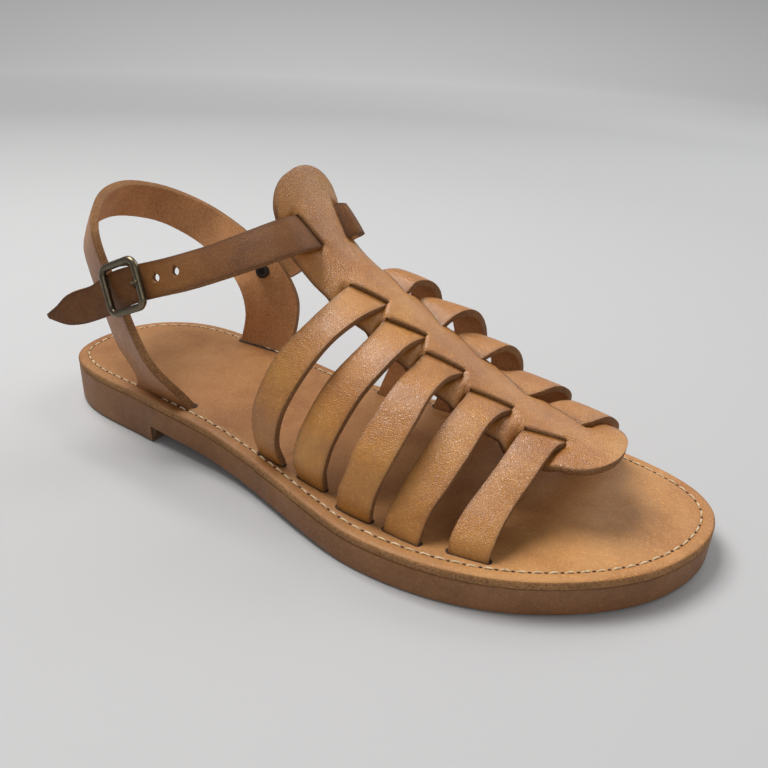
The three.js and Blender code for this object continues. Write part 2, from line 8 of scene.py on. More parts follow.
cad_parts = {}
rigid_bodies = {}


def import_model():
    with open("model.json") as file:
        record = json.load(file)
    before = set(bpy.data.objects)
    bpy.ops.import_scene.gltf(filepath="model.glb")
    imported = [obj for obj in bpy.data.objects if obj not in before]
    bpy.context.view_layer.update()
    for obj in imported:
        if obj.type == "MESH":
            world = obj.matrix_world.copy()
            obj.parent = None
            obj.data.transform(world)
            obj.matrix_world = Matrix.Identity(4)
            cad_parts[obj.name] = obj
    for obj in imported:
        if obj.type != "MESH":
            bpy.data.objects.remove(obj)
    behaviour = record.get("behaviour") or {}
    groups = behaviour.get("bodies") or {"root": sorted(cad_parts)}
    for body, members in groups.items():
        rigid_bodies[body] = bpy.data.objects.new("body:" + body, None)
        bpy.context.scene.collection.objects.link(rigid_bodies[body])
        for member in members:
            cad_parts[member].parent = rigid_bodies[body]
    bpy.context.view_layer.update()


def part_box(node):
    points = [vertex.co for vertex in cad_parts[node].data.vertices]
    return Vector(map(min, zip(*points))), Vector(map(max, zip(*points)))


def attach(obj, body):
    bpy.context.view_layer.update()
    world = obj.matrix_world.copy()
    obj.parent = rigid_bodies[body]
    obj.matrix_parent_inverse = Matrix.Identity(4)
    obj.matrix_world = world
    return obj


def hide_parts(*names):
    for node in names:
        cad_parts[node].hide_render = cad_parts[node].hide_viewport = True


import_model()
MM = 0.001

# ---------------------------------------------------------------- tables ----
SOLE = [
    (0.06, -5.3, -1.9), (0.63, -10.9, 4.1), (2.03, -16, 10), (4.53, -20.8, 16),
    (8.53, -24.9, 21.7), (16, -29, 27.9), (24, -31.4, 31.8), (34, -32.8, 34),
    (50, -34, 34.1), (65, -35.4, 33.3), (80, -36.3, 32.9), (95, -37.1, 32.8),
    (110, -39.5, 33.2), (125, -43.6, 34.7), (140, -48, 37.6), (155, -51.4, 41.7),
    (165, -52.6, 44.3), (175, -52.8, 46), (185, -52, 47.2), (195, -50.2, 47.9),
    (205, -47.2, 47.9), (215, -42.9, 47), (225, -36.9, 45.1), (233, -31, 42.9),
    (240, -24.6, 40.3), (246, -17.7, 37.1), (251, -9.8, 33.1), (255, -0.8, 27.9),
    (256.8, 5.3, 23.7), (257.6, 9.5, 20.3), (257.97, 13.6, 16.5),
]
BED = [
    (0, 19.37), (50, 19.37), (80, 18.33), (110, 15.33),
    (140, 14.44), (165, 12.68), (195, 12.68), (258, 13.23),
]
STACK, INSOLE_T, BREAST = 12.68, 3, 60
SPINE_Y, SPINE_HALF, SPINE_R, STRAP_T, HEEL_T = 4, 17.2, 25, 2.4, 3
SPINE = [
    (103.2, 106.4, 0.1, 0.4), (104, 105.2, 0.5, 0.4), (105.6, 102.4, 0.77, 0.4), (107.8, 98.5, 0.93, 0.42),
    (110.2, 94.3, 0.97, 0.5), (114, 88.6, 1, 0.7), (119.1, 83.2, 1, 0.9), (125, 78.8, 1, 1),
    (131.4, 75, 1, 1), (144.4, 68.1, 1, 1), (159.3, 59.6, 1, 0.96), (174.9, 51.2, 1, 0.88),
    (192.9, 43, 1, 0.78), (204, 39.6, 1, 0.66), (212.5, 38.1, 1, 0.48), (219, 37.5, 0.95, 0.36),
    (223.6, 37.2, 0.77, 0.28), (226.6, 37, 0.5, 0.22), (228, 36.9, 0.1, 0.2),
]
VAMP = {
    "s1": dict(
        outer=[
            (114.3, -35.7, 15.2, 126, -37.7, 14.9), (114, -38, 24, 126, -41, 23), (115, -39.3, 33, 127, -42, 30),
            (117, -38.8, 41, 129, -41.6, 38), (122, -34, 55, 134, -37, 51), (128, -25, 65, 139, -28, 62),
            (130.6, -14, 70.6, 142.7, -16, 67.3),
],
        slit=(131.2, -6, 72.7, 144.4, -1.4, 67.9),
        inner=[
            (132.6, 17.5, 72.7, 145.3, 15.5, 70.9), (134.4, 24.5, 70.8, 147, 24, 69.2), (135.2, 31.3, 65.2, 147.7, 31.3, 62.8),
            (133.8, 34.2, 54, 146.6, 34.8, 52), (129.6, 33.2, 34, 142.4, 34, 33), (124.3, 29.8, 15, 136.6, 31.3, 14.6),
]),
    "s2": dict(
        outer=[
            (134, -39.3, 14.8, 145.6, -40.7, 14.3), (133.4, -41, 22, 146, -42, 21), (134, -40, 29, 147, -41, 28),
            (136, -38, 37, 149, -40, 35), (140, -30, 50, 153, -33, 48), (145, -20, 59, 157, -23, 57),
            (146, -12, 62.4, 158.8, -13, 60.7),
],
        slit=(145.5, -7, 63.1, 159.2, -0.6, 59.7),
        inner=[
            (147.6, 17.5, 65, 161.6, 15, 62.8), (150.6, 25.5, 62.6, 164, 22.5, 63), (152.4, 32.3, 56.5, 165.2, 30, 58.6),
            (153, 36.3, 47.5, 165.6, 36.2, 48), (150.2, 37.2, 28, 162.9, 38, 29), (147.3, 34.8, 14.2, 159.6, 36.8, 13.6),
]),
    "s3": dict(
        outer=[
            (153.3, -44.4, 13.3, 165.9, -44.7, 12.7), (154, -45, 21, 167, -46, 19), (156, -44, 28, 168, -45, 25),
            (157.6, -41.6, 36.5, 170.6, -42.2, 34), (160, -32, 47, 173, -32, 46), (161, -23, 52.4, 173, -23, 51.2),
            (161, -12, 54.4, 173.3, -12, 53),
],
        slit=(161, -6, 55.2, 174.7, -1.4, 51.5),
        inner=[
            (163.6, 17.5, 55.7, 177.2, 14.6, 53.2), (166.8, 25, 53.7, 179.4, 21.5, 53.7), (168.4, 32.3, 47.8, 180.8, 29.5, 49.4),
            (168.6, 37, 40, 181.2, 36.2, 41), (166.6, 39.2, 26, 179.4, 39.8, 27), (163.9, 38.4, 13, 176.3, 39.8, 12.7),
]),
    "s4": dict(
        outer=[
            (171, -45, 12.9, 183.6, -45.6, 12.7), (171.3, -43.4, 19, 184, -43, 18.4), (172.6, -39.6, 24.4, 185, -40.4, 23.6),
            (174, -34, 31, 187, -35, 29.6), (176, -25, 39, 189, -26, 37), (178, -15, 45, 190, -16, 43.2),
            (178.2, -9, 46.3, 191, -9, 44.4),
],
        slit=(178, -6, 46.7, 192.4, -0.8, 43.4),
        inner=[
            (181, 17, 46.2, 195.8, 14.4, 43.6), (185, 25, 44.3, 198.6, 21.5, 43.6), (187.2, 31.8, 39.6, 200.2, 29, 40.4),
            (188, 37.2, 33.6, 200.7, 36, 34.6), (186, 41.2, 22.5, 198.6, 41, 23.5), (182.2, 41, 12.9, 194.7, 41.6, 12.7),
]),
    "s5": dict(
        outer=[
            (192.4, -43.1, 12.9, 204.8, -41, 12.9), (192, -41.6, 17, 205, -39.4, 17), (192.4, -35.6, 22.4, 205.2, -34.6, 22),
            (194, -27, 27.6, 206, -27, 26.8), (195.8, -19, 32.8, 207.6, -21, 31.6), (197, -12, 37.2, 209, -13, 36.4),
            (197.6, -8.4, 39, 210, -7, 38.2),
],
        slit=(198, -5.8, 39.8, 211.6, -2, 39),
        inner=[
            (200, 17.5, 39.9, 214.4, 14.4, 38.4), (203.6, 25.5, 38, 217.4, 22, 37.8), (205.6, 32.3, 33.2, 218.8, 30, 33.2),
            (206.2, 37.5, 27.6, 219, 36.6, 27.6), (205.2, 41, 19, 217.6, 40.8, 19.5), (203.2, 41.6, 12.8, 215.6, 41, 12.9),
]),
}
ANKLE = dict(
    outer=[
        (22.2, -44.6, 47.9, 23, -44.2, 46.1), (28.2, -44.4, 52.6, 29.2, -42, 44.8), (33.6, -43.2, 57.6, 36.2, -40.6, 46),
        (44.5, -40.7, 62.8, 50, -39.7, 52), (50.8, -40.4, 66.9, 56.7, -40, 55.6), (57.3, -40.3, 70.8, 63.6, -41.1, 59.5),
        (66.2, -39.4, 74.4, 71.3, -41.5, 63.2), (76.5, -37.2, 77.8, 79.9, -41.4, 66.9), (85.1, -34.3, 80.8, 90, -41, 71.2),
        (93.7, -32.4, 84.4, 99.3, -39.3, 75.2), (100.8, -30.2, 87.8, 107.6, -36.4, 78.9), (106.3, -27.1, 90.6, 114.4, -32.3, 82),
        (110.2, -23, 92.6, 119.4, -26.8, 84.3), (112.2, -16.5, 93.6, 122.2, -18, 85.4),
],
    slit=(110.3, -6.2, 93.2, 119.4, -2.6, 83.9),
    inner=[
        (111.6, 16.4, 92.2, 120.6, 15, 83.6), (109.4, 22.8, 90.3, 117.8, 22.6, 80.8), (102.3, 30, 86.2, 109.6, 31, 75.9),
        (90.2, 36.4, 80.2, 97, 37.4, 69.2), (78, 40.2, 71.2, 84.6, 40.2, 60.2), (66.8, 39.6, 61.6, 73, 38.8, 50.8),
        (58.6, 36.3, 56.9, 64.8, 35, 46.6), (51.3, 33.4, 52.9, 57.5, 31.2, 42.7),
])
HEEL = [
    (50, -29.4, 19.4, 77.6, -29.8, 18.6), (49, -28.4, 23.4, 67, -37.6, 35.7), (40.7, -29.1, 35.7, 56.9, -35.9, 46.6),
    (34.6, -28.7, 49.5, 50.5, -34.4, 57), (30.2, -28.6, 61.3, 44.6, -34.4, 68.7), (26.8, -27.3, 68.9, 38.2, -32, 79.1),
    (21, -21.4, 72.6, 29.6, -22.7, 85.7), (10, -9.1, 73.9, 18.4, -6.6, 87.7), (4.3, 7.8, 72.4, 12.5, 10.9, 86.3),
    (9.9, 22.9, 68, 17, 24.9, 82.3), (23.9, 28.9, 61.8, 30.4, 33.1, 76.4), (39, 29.2, 55.1, 46, 35.7, 69.5),
    (49.5, 27.9, 49, 59.4, 35.3, 62.7), (54.3, 27, 43.7, 69.6, 35.5, 56.1), (56.2, 27.2, 35, 78.3, 35.6, 41.6),
    (52, 29.3, 19.3, 77.4, 31.3, 18.4),
]

lo_sole, hi_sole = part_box("outsole")
SHIFT = np.array([lo_sole.x / MM - SOLE[0][0], lo_sole.y / MM - min(r[1] for r in SOLE), 0.0])


def W(p):
    """Shoe millimetres to row-frame metres."""
    return (np.asarray(p, float) + SHIFT) * MM


# ------------------------------------------------------------- numerics ----
def pchip(xs, ys):
    xs, ys = np.array(xs, float), np.array(ys, float)
    h, d = np.diff(xs), np.diff(ys) / np.diff(xs)
    m = np.zeros(len(xs)); m[0], m[-1] = d[0], d[-1]
    for i in range(1, len(xs) - 1):
        if d[i - 1] * d[i] > 0:
            w1, w2 = 2 * h[i] + h[i - 1], h[i] + 2 * h[i - 1]
            m[i] = (w1 + w2) / (w1 / d[i - 1] + w2 / d[i])

    def f(t):
        t = np.asarray(t, float)
        i = np.clip(np.searchsorted(xs, t) - 1, 0, len(xs) - 2)
        s = np.clip((t - xs[i]) / h[i], 0, 1)
        return ((1 + 2 * s) * (1 - s) ** 2 * ys[i] + s * (1 - s) ** 2 * h[i] * m[i]
                + s * s * (3 - 2 * s) * ys[i + 1] + s * s * (s - 1) * h[i] * m[i + 1])
    return f


def spline(P, t, closed=False):
    """Centripetal Catmull-Rom through P at t in 0..1."""
    P = np.asarray(P, float)
    t = np.atleast_1d(t)
    n = len(P)
    seg = n if closed else n - 1
    u = np.clip(t, 0, 1) * seg
    i = np.minimum(u.astype(int), seg - 1)
    w = (u - i)[:, None]
    if closed:
        p0, p1, p2, p3 = P[(i - 1) % n], P[i % n], P[(i + 1) % n], P[(i + 2) % n]
    else:
        E = np.vstack([2 * P[0] - P[1], P, 2 * P[-1] - P[-2]])
        p0, p1, p2, p3 = E[i], E[i + 1], E[i + 2], E[i + 3]
    d = lambda a, b: np.maximum(np.linalg.norm(a - b, axis=1) ** 0.5, 1e-4)[:, None]
    d0, d1, d2 = d(p0, p1), d(p1, p2), d(p2, p3)
    t1 = ((p1 - p0) / d0 - (p2 - p0) / (d0 + d1) + (p2 - p1) / d1) * d1
    t2 = ((p2 - p1) / d1 - (p3 - p1) / (d1 + d2) + (p3 - p2) / d2) * d1
    return (p1 + t1 * w + (-3 * p1 + 3 * p2 - 2 * t1 - t2) * w ** 2 + (2 * p1 - 2 * p2 + t1 + t2) * w ** 3)


def unit(v):
    return v / np.maximum(np.linalg.norm(v, axis=-1, keepdims=True), 1e-12)


def smooth(x):
    x = np.clip(x, 0, 1)
    return x * x * (3 - 2 * x)


def even(P, step, closed=False):
    """Points along a polyline about step apart."""
    Q = np.vstack([P, P[:1]]) if closed else P
    L = np.concatenate([[0], np.cumsum(np.linalg.norm(np.diff(Q, axis=0), axis=1))])
    n = max(2, int(round(L[-1] / step)))
    s = np.linspace(0, L[-1], n + 1)
    if closed:
        s = s[:-1]
    return np.stack([np.interp(s, L, Q[:, k]) for k in range(Q.shape[1])], 1), L[-1]


bed = pchip([r[0] for r in BED], [r[1] for r in BED])


def ground(x):
    x = np.asarray(x, float)
    return np.where(x < BREAST, 0.0, np.maximum(bed(x) - STACK, 0.0))


# ------------------------------------------------------------ materials ----
def mat(name):
    m = bpy.data.materials.new(name)
    m.use_nodes = True
    nt = m.node_tree
    return m, nt, nt.nodes["Principled BSDF"]


def node(nt, kind, **kw):
    n = nt.nodes.new(kind)
    for k, v in kw.items():
        if hasattr(n, k) and k not in n.inputs:
            setattr(n, k, v)
        else:
            n.inputs[k].default_value = v
    return n


def noise_tex(nt, co, scale, detail=4.0, rough=0.55, dist=0.0):
    n = node(nt, "ShaderNodeTexNoise", Scale=scale, Detail=detail, Roughness=rough, Distortion=dist)
    nt.links.new(co, n.inputs["Vector"])
    return n.outputs["Fac"]


def ramp(nt, fac, stops):
    r = nt.nodes.new("ShaderNodeValToRGB")
    e = r.color_ramp.elements
    while len(e) < len(stops):
        e.new(0.5)
    for i, (p, c) in enumerate(stops):
        e[i].position = p
        e[i].color = (*c, 1) if len(c) == 3 else c
    nt.links.new(fac, r.inputs["Fac"])
    return r.outputs["Color"]


def mixc(nt, fac, a, b, mode="MIX"):
    m = nt.nodes.new("ShaderNodeMix")
    m.data_type = "RGBA"
    m.blend_type = mode
    for sock, v in ((m.inputs[0], fac), (m.inputs[6], a), (m.inputs[7], b)):
        if hasattr(v, "links"):
            nt.links.new(v, sock)
        else:
            sock.default_value = v if isinstance(v, float) else (*v, 1)
    return m.outputs[2]


def math_n(nt, op, a, b=0.0, clamp=False):
    m = nt.nodes.new("ShaderNodeMath")
    m.operation = op
    m.use_clamp = clamp
    for sock, v in ((m.inputs[0], a), (m.inputs[1], b)):
        if hasattr(v, "links"):
            nt.links.new(v, sock)
        else:
            sock.default_value = v
    return m.outputs[0]


def bump(nt, height, strength, distance, normal=None):
    b = node(nt, "ShaderNodeBump", Strength=strength, Distance=distance)
    nt.links.new(height, b.inputs["Height"])
    if normal is not None:
        nt.links.new(normal, b.inputs["Normal"])
    return b.outputs["Normal"]


def coords(nt):
    return nt.nodes.new("ShaderNodeTexCoord").outputs["Object"]


def attr(nt, name):
    a = nt.nodes.new("ShaderNodeAttribute")
    a.attribute_name = name
    return a.outputs["Fac"]


def leather(name, light, mid, dark, rough=(0.26, 0.46), grain=0.6, dark_edges_and_painted_shade=True, coat=0.16, spec=0.6, painted_heel_shade=False):
    m, nt, b = mat(name)
    co = coords(nt)
    broad = noise_tex(nt, co, 34.0, 5.0, 0.6, 0.4)
    col = ramp(nt, broad, [(0.30, dark), (0.50, mid), (0.72, light)])
    fine = noise_tex(nt, co, 420.0, 6.0, 0.7)
    col = mixc(nt, 0.30, col, ramp(nt, fine, [(0.30, (0.55, 0.52, 0.48)), (0.70, (1.12, 1.1, 1.06))]), "MULTIPLY")
    # painted glints: fine specks of lighter tan mixed into the base colour
    glint_specks = noise_tex(nt, co, 1500.0, 3.0, 0.6)
    col = mixc(nt, ramp(nt, glint_specks, [(0.54, (0, 0, 0)), (0.68, (0.34, 0.34, 0.34))]), col, tuple(min(1.0, c * 1.75) for c in light))
    if dark_edges_and_painted_shade:
        e = attr(nt, "edge")
        rim = ramp(nt, math_n(nt, "DIVIDE", e, 4.0), [(0.0, (1, 1, 1)), (0.16, (0.45, 0.45, 0.45)), (0.42, (0, 0, 0))])
        col = mixc(nt, math_n(nt, "MULTIPLY", rim, 0.55), col, tuple(c * 0.45 for c in dark))
        # painted shade: the 'shade' attribute darkens the colour in recesses, such as where straps pass under the spine
        # or go into the footbed
        painted_shade = attr(nt, "shade")
        col = mixc(nt, painted_shade, col, tuple(c * 0.30 for c in dark))
    # painted shade: the footbed darkens towards the heel, partly painted shadow and partly its own darker tone
    if painted_heel_shade:
        sep = nt.nodes.new("ShaderNodeSeparateXYZ")
        nt.links.new(co, sep.inputs[0])
        along = node(nt, "ShaderNodeMapRange")
        nt.links.new(sep.outputs["X"], along.inputs["Value"])
        along.inputs["From Min"].default_value, along.inputs["From Max"].default_value = -0.13, 0.13
        col = mixc(nt, 1.0, col, ramp(nt, along.outputs["Result"], [(0.0, (0.62, 0.58, 0.55)), (0.35, (0.58, 0.53, 0.50)), (0.62, (0.66, 0.62, 0.60)), (0.85, (0.92, 0.90, 0.88))]), "MULTIPLY")
    nt.links.new(col, b.inputs["Base Color"])
    rr = node(nt, "ShaderNodeMapRange")
    nt.links.new(noise_tex(nt, co, 160.0, 4.0), rr.inputs["Value"])
    rr.inputs["From Min"].default_value, rr.inputs["From Max"].default_value = 0.3, 0.7
    rr.inputs["To Min"].default_value, rr.inputs["To Max"].default_value = rough
    nt.links.new(rr.outputs["Result"], b.inputs["Roughness"])
    v = node(nt, "ShaderNodeTexVoronoi", Scale=1500.0)
    v.feature = "DISTANCE_TO_EDGE"
    nt.links.new(co, v.inputs["Vector"])
    pores = ramp(nt, v.outputs["Distance"], [(0.0, (0, 0, 0)), (0.25, (1, 1, 1))])
    n1 = bump(nt, pores, grain, 0.00014)
    n2 = bump(nt, noise_tex(nt, co, 3600.0, 3.0, 0.6), grain, 0.00011, n1)
    n3 = bump(nt, noise_tex(nt, co, 120.0, 4.0, 0.55), 0.25, 0.0006, n2)
    nt.links.new(n3, b.inputs["Normal"])
    b.inputs["Specular IOR Level"].default_value = spec
    b.inputs["Coat Weight"].default_value = coat
    b.inputs["Coat Roughness"].default_value = 0.32
    return m


def raw_edge(name, a, c, scale=700.0):
    """Cut leather: pale and dark fibres, no gloss."""
    m, nt, b = mat(name)
    co = coords(nt)
    col = ramp(nt, noise_tex(nt, co, scale, 6.0, 0.75, 0.3), [(0.36, a), (0.60, c)])
    col = mixc(nt, 0.5, col, ramp(nt, noise_tex(nt, co, 70.0, 3.0), [(0.35, (0.55, 0.52, 0.5)), (0.65, (1, 1, 1))]), "MULTIPLY")
    nt.links.new(col, b.inputs["Base Color"])
    b.inputs["Roughness"].default_value = 0.82
    b.inputs["Specular IOR Level"].default_value = 0.25
    nt.links.new(bump(nt, noise_tex(nt, co, 1500.0, 5.0, 0.75), 0.6, 0.00025), b.inputs["Normal"])
    return m


TAN_L, TAN_M, TAN_D = (0.51, 0.236, 0.050), (0.415, 0.165, 0.028), (0.30, 0.103, 0.015)
M_GRAIN = leather("leather_grain", TAN_L, TAN_M, TAN_D)
M_ANKLE = leather("leather_ankle", (0.205, 0.082, 0.019), (0.155, 0.056, 0.012), (0.105, 0.034, 0.007), rough=(0.50, 0.64), grain=0.4, coat=0.0, spec=0.26)
M_HEEL = leather("leather_heel", (0.42, 0.195, 0.072), (0.33, 0.138, 0.046), (0.24, 0.088, 0.025), rough=(0.42, 0.56), grain=0.3, spec=0.4)
M_EDGE = raw_edge("leather_cut_edge", (0.13, 0.053, 0.018), (0.31, 0.155, 0.062), 1500.0)
M_FLESH = raw_edge("leather_flesh", (0.40, 0.180, 0.068), (0.60, 0.310, 0.140), 1300.0)
M_BED = leather("footbed_leather", (0.58, 0.300, 0.108), (0.49, 0.232, 0.074), (0.37, 0.152, 0.042), rough=(0.48, 0.64), grain=0.24, dark_edges_and_painted_shade=False, coat=0.0, spec=0.4, painted_heel_shade=True)
M_WELT = raw_edge("footbed_edge", (0.19, 0.083, 0.028), (0.40, 0.21, 0.088), 1300.0)
M_SIDE = leather("sole_side", (0.27, 0.122, 0.045), (0.22, 0.094, 0.032), (0.16, 0.062, 0.020), rough=(0.46, 0.60), grain=0.15, spec=0.4, dark_edges_and_painted_shade=False, coat=0.0)
M_UNDER = raw_edge("sole_under", (0.12, 0.065, 0.034), (0.20, 0.115, 0.062), 260.0)

m, nt, b = mat("thread")
co = coords(nt)
nt.links.new(ramp(nt, noise_tex(nt, co, 900.0, 3.0), [(0.3, (0.44, 0.30, 0.16)), (0.7, (0.76, 0.60, 0.38))]), b.inputs["Base Color"])
wv = node(nt, "ShaderNodeTexWave", Scale=500.0, Distortion=1.0)
nt.links.new(co, wv.inputs["Vector"])
nt.links.new(bump(nt, wv.outputs["Fac"], 0.5, 0.0001), b.inputs["Normal"])
b.inputs["Roughness"].default_value = 0.7
M_THREAD = m

# painted shade: near-black colour for the needle holes and the strap slots
m, nt, b = mat("painted_hole_shade")
co = coords(nt)
nt.links.new(ramp(nt, noise_tex(nt, co, 900.0, 2.0), [(0.3, (0.022, 0.010, 0.005)), (0.7, (0.050, 0.024, 0.011))]), b.inputs["Base Color"])
b.inputs["Roughness"].default_value = 0.9
M_HOLE_SHADE = m


def metal(name, base, wear, rough):
    m, nt, b = mat(name)
    co = coords(nt)
    patina = noise_tex(nt, co, 220.0, 5.0, 0.65)
    geo = nt.nodes.new("ShaderNodeNewGeometry")
    worn = ramp(nt, geo.outputs["Pointiness"], [(0.50, (0, 0, 0)), (0.58, (0.7, 0.7, 0.7))])
    col = mixc(nt, worn, ramp(nt, patina, [(0.35, tuple(c * 0.55 for c in base)), (0.65, base)]), wear)
    nt.links.new(col, b.inputs["Base Color"])
    rr = node(nt, "ShaderNodeMapRange")
    nt.links.new(noise_tex(nt, co, 600.0, 4.0), rr.inputs["Value"])
    rr.inputs["To Min"].default_value, rr.inputs["To Max"].default_value = rough
    nt.links.new(rr.outputs["Result"], b.inputs["Roughness"])
    nt.links.new(bump(nt, noise_tex(nt, co, 1100.0, 4.0), 0.25, 0.0001), b.inputs["Normal"])
    b.inputs["Metallic"].default_value = 0.9
    return m


M_METAL = metal("antique_metal", (0.075, 0.064, 0.048), (0.34, 0.27, 0.16), (0.18, 0.40))
M_RIVET = metal("rivet_metal", (0.030, 0.026, 0.024), (0.10, 0.09, 0.08), (0.25, 0.45))


# -------------------------------------------------------------- meshing ----
def add(name, verts, faces, mats, mat_index=None, attrs=None, node_names=(), slot=None, flat=False):
    me = bpy.data.meshes.new(name)
    me.from_pydata([tuple(v) for v in verts], [], [tuple(f) for f in faces])
    for x in mats:
        me.materials.append(x)
    if mat_index is not None:
        me.polygons.foreach_set("material_index", np.asarray(mat_index, np.int32))
    for k, v in (attrs or {}).items():
        me.attributes.new(k, "FLOAT", "POINT").data.foreach_set("value", np.asarray(v, np.float32))
    if not flat:
        me.shade_smooth()
    me.update()
    o = bpy.data.objects.new(name, me)
    bpy.context.scene.collection.objects.link(o)
    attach(o, "root")
    if node_names:
        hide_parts(*node_names)
    return o


def skin(o, thick, bevel=0.4):
    s = o.modifiers.new("thickness", "SOLIDIFY")
    s.thickness = thick * MM
    s.offset = -1
    s.use_even_offset = True
    s.thickness_clamp = 0
    s.use_rim = True
    s.material_offset = 2
    s.material_offset_rim = 1
    b = o.modifiers.new("edges", "BEVEL")
    b.width = bevel * MM
    b.segments = 3
    b.limit_method = "ANGLE"
    b.angle_limit = math.radians(50)
    b.harden_normals = False
    return o


def bake(o):
    bpy.context.view_layer.update()
    dg = bpy.context.evaluated_depsgraph_get()
    me = bpy.data.meshes.new_from_object(o.evaluated_get(dg), preserve_all_data_layers=True, depsgraph=dg)
    o.modifiers.clear()
    o.data = me
    return o


def edges_of(rows):
    R = np.array(rows, float)
    return R[:, :3], R[:, 3:]


def normals(A, B):
    mid = (A + B) / 2
    along = unit(np.gradient(mid, axis=0))
    return unit(np.cross(unit(B - A), along))


def band_grid(A, B, n, across=10, crown=0.25, lift=0.0, wave=0.12, seed=0):
    """Outer face of a leather band between two edge curves."""
    t = np.linspace(0, 1, n + 1)
    a, b = spline(A, t), spline(B, t)
    nn = normals(a, b)
    k = np.ones(9) / 9
    pad = np.vstack([np.repeat(nn[:1], 4, 0), nn, np.repeat(nn[-1:], 4, 0)])
    nn = unit(np.stack([np.convolve(pad[:, c], k, "valid") for c in range(3)], 1))
    rng = np.random.RandomState(seed)
    ph = rng.rand(6) * 6.28
    L = np.concatenate([[0], np.cumsum(np.linalg.norm(np.diff((a + b) / 2, axis=0), axis=1))])
    w = np.linspace(0, 1, across + 1)
    # rows are denser near the two edges
    w = 0.5 - 0.5 * np.cos(np.pi * w) * (0.75 + 0.25 * np.abs(np.cos(np.pi * w)))
    w[0], w[-1] = 0, 1
    P = a[:, None] * (1 - w)[None, :, None] + b[:, None] * w[None, :, None]
    und = wave * (np.sin(L / 7.3 + ph[0]) * 0.6 + np.sin(L / 3.1 + ph[1]) * 0.3)[:, None] * np.cos(np.pi * w + ph[2])[None]
    off = lift - crown * (2 * w - 1)[None] ** 2 + und
    P = P + off[..., None] * nn[:, None]
    wid = np.linalg.norm(b - a, axis=1)[:, None]
    e = np.minimum(w, 1 - w)[None] * wid
    return P, e, nn, L


def grid_faces(m, n):
    i, j = np.meshgrid(np.arange(m - 1), np.arange(n - 1), indexing="ij")
    q = (i * n + j).ravel()
    return np.stack([q, q + 1, q + n + 1, q + n], 1)


def band(name, A, B, n, thick, mats, across=10, crown=0.25, lift=0.0, seed=0, shade=None, **kw):
    P, e, nn, L = band_grid(A, B, n, across, crown, lift, seed=seed)
    sh = np.zeros_like(e) if shade is None else shade(P, L)
    o = add(name, W(P.reshape(-1, 3)), grid_faces(P.shape[0], P.shape[1]), mats,
            attrs={"edge": e.ravel(), "shade": sh.ravel()}, **kw)
    return skin(o, thick), P, nn


# ---------------------------------------------------------------- spine ----
S = np.array(SPINE)
ts = np.linspace(0, 1, 1201)
cen = spline(np.stack([S[:, 0], np.full(len(S), SPINE_Y), S[:, 1]], 1), ts)
arc_s = np.concatenate([[0], np.cumsum(np.linalg.norm(np.diff(cen, axis=0), axis=1))])
tan = unit(np.gradient(cen, axis=0))
nrm = np.stack([-tan[:, 2], np.zeros(len(tan)), tan[:, 0]], 1)
half_u = np.interp(ts * (len(S) - 1), np.arange(len(S)), S[:, 2]) * SPINE_HALF
# length of the centre line, and how strongly the cross-section is curved along it
LEN = arc_s[-1]
arc_u = np.interp(ts * (len(S) - 1), np.arange(len(S)), S[:, 3])


def at_s(s):
    g = lambda a: np.interp(s, arc_s, a)
    return (np.stack([g(cen[:, k]) for k in range(3)], -1), np.stack([g(nrm[:, k]) for k in range(3)], -1), g(half_u), g(arc_u))


def s_of_x(x):
    return np.interp(x, cen[:, 0], arc_s)


def half_at(s):
    top = 14.0
    toe = 15.0
    h = np.full_like(s, SPINE_HALF)
    a = np.clip(s / top, 0, 1)
    h = np.where(s < top, SPINE_HALF * np.maximum(1 - (1 - a) ** 2.2, 0) ** 0.5 * (0.96 + 0.04 * a) + 0.05, h)
    b = np.clip((LEN - s) / toe, 0, 1)
    h = np.where(s > LEN - toe, SPINE_HALF * np.maximum(1 - (1 - b) ** 2.4, 0) ** 0.47 + 0.05, h)
    return np.minimum(h, SPINE_HALF)


def face_at(s, v, d=0.0):
    """Point of the spine's outer face at arc length s, offset v, raised by d."""
    c, n, _, arc = at_s(s)
    sag = arc * (SPINE_R - np.sqrt(np.maximum(SPINE_R ** 2 - v * v, 1)))
    P = c + (d - sag)[..., None] * n
    P[..., 1] = P[..., 1] + v
    return P


CROSS = ["ankle", "s1", "s2", "s3", "s4", "s5"]
slits = {}
for key in CROSS:
    r = ANKLE["slit"] if key == "ankle" else VAMP[key]["slit"]
    v0, v1 = abs(r[1] - SPINE_Y), abs(r[4] - SPINE_Y)
    def inv(x, z, v):
        best = None
        s = np.linspace(2, LEN - 2, 900)
        P = face_at(s, np.full_like(s, -v))
        return s[np.argmin((P[:, 0] - x) ** 2 + (P[:, 2] - z) ** 2)]
    slits[key] = (inv(r[0], r[2], v0), v0, inv(r[3], r[5], v1), v1)

# strap paths across the spine
UP, DIVE = 0.95, 0.30


def path(rows, key, off_mid):
    """Full strap: climbs, dives in at a slit, runs under the centre, out again and down."""
    s0, v0, s1, v1 = slits[key]
    outer, inner = list(map(tuple, rows["outer"])), list(map(tuple, rows["inner"]))

    def across(f, d, side):
        a = face_at(np.array([s0]), np.array([side * v0 * f]), np.array([d]))[0]
        b = face_at(np.array([s1]), np.array([side * v1 * f]), np.array([d]))[0]
        return (*a, *b)
    low = UP - STRAP_T - 0.15
    mid = [across(1.0, -DIVE, -1), across(0.6, low, -1), across(0.0, low, 1), across(0.6, low, 1), across(1.0, -DIVE, 1)]
    if off_mid:      # the ankle strap's rows are mid-surface ones
        A, B = edges_of(outer); n = normals(A, B) * off_mid
        outer = [tuple(np.concatenate([a + k, b + k])) for a, b, k in zip(A, B, n)]
        A, B = edges_of(inner); n = normals(A, B) * off_mid
        inner = [tuple(np.concatenate([a + k, b + k])) for a, b, k in zip(A, B, n)]
    return outer, mid, inner


def foot(row, depth=2.6):
    r = list(row)
    r[2] -= depth
    r[5] -= depth
    return tuple(r)


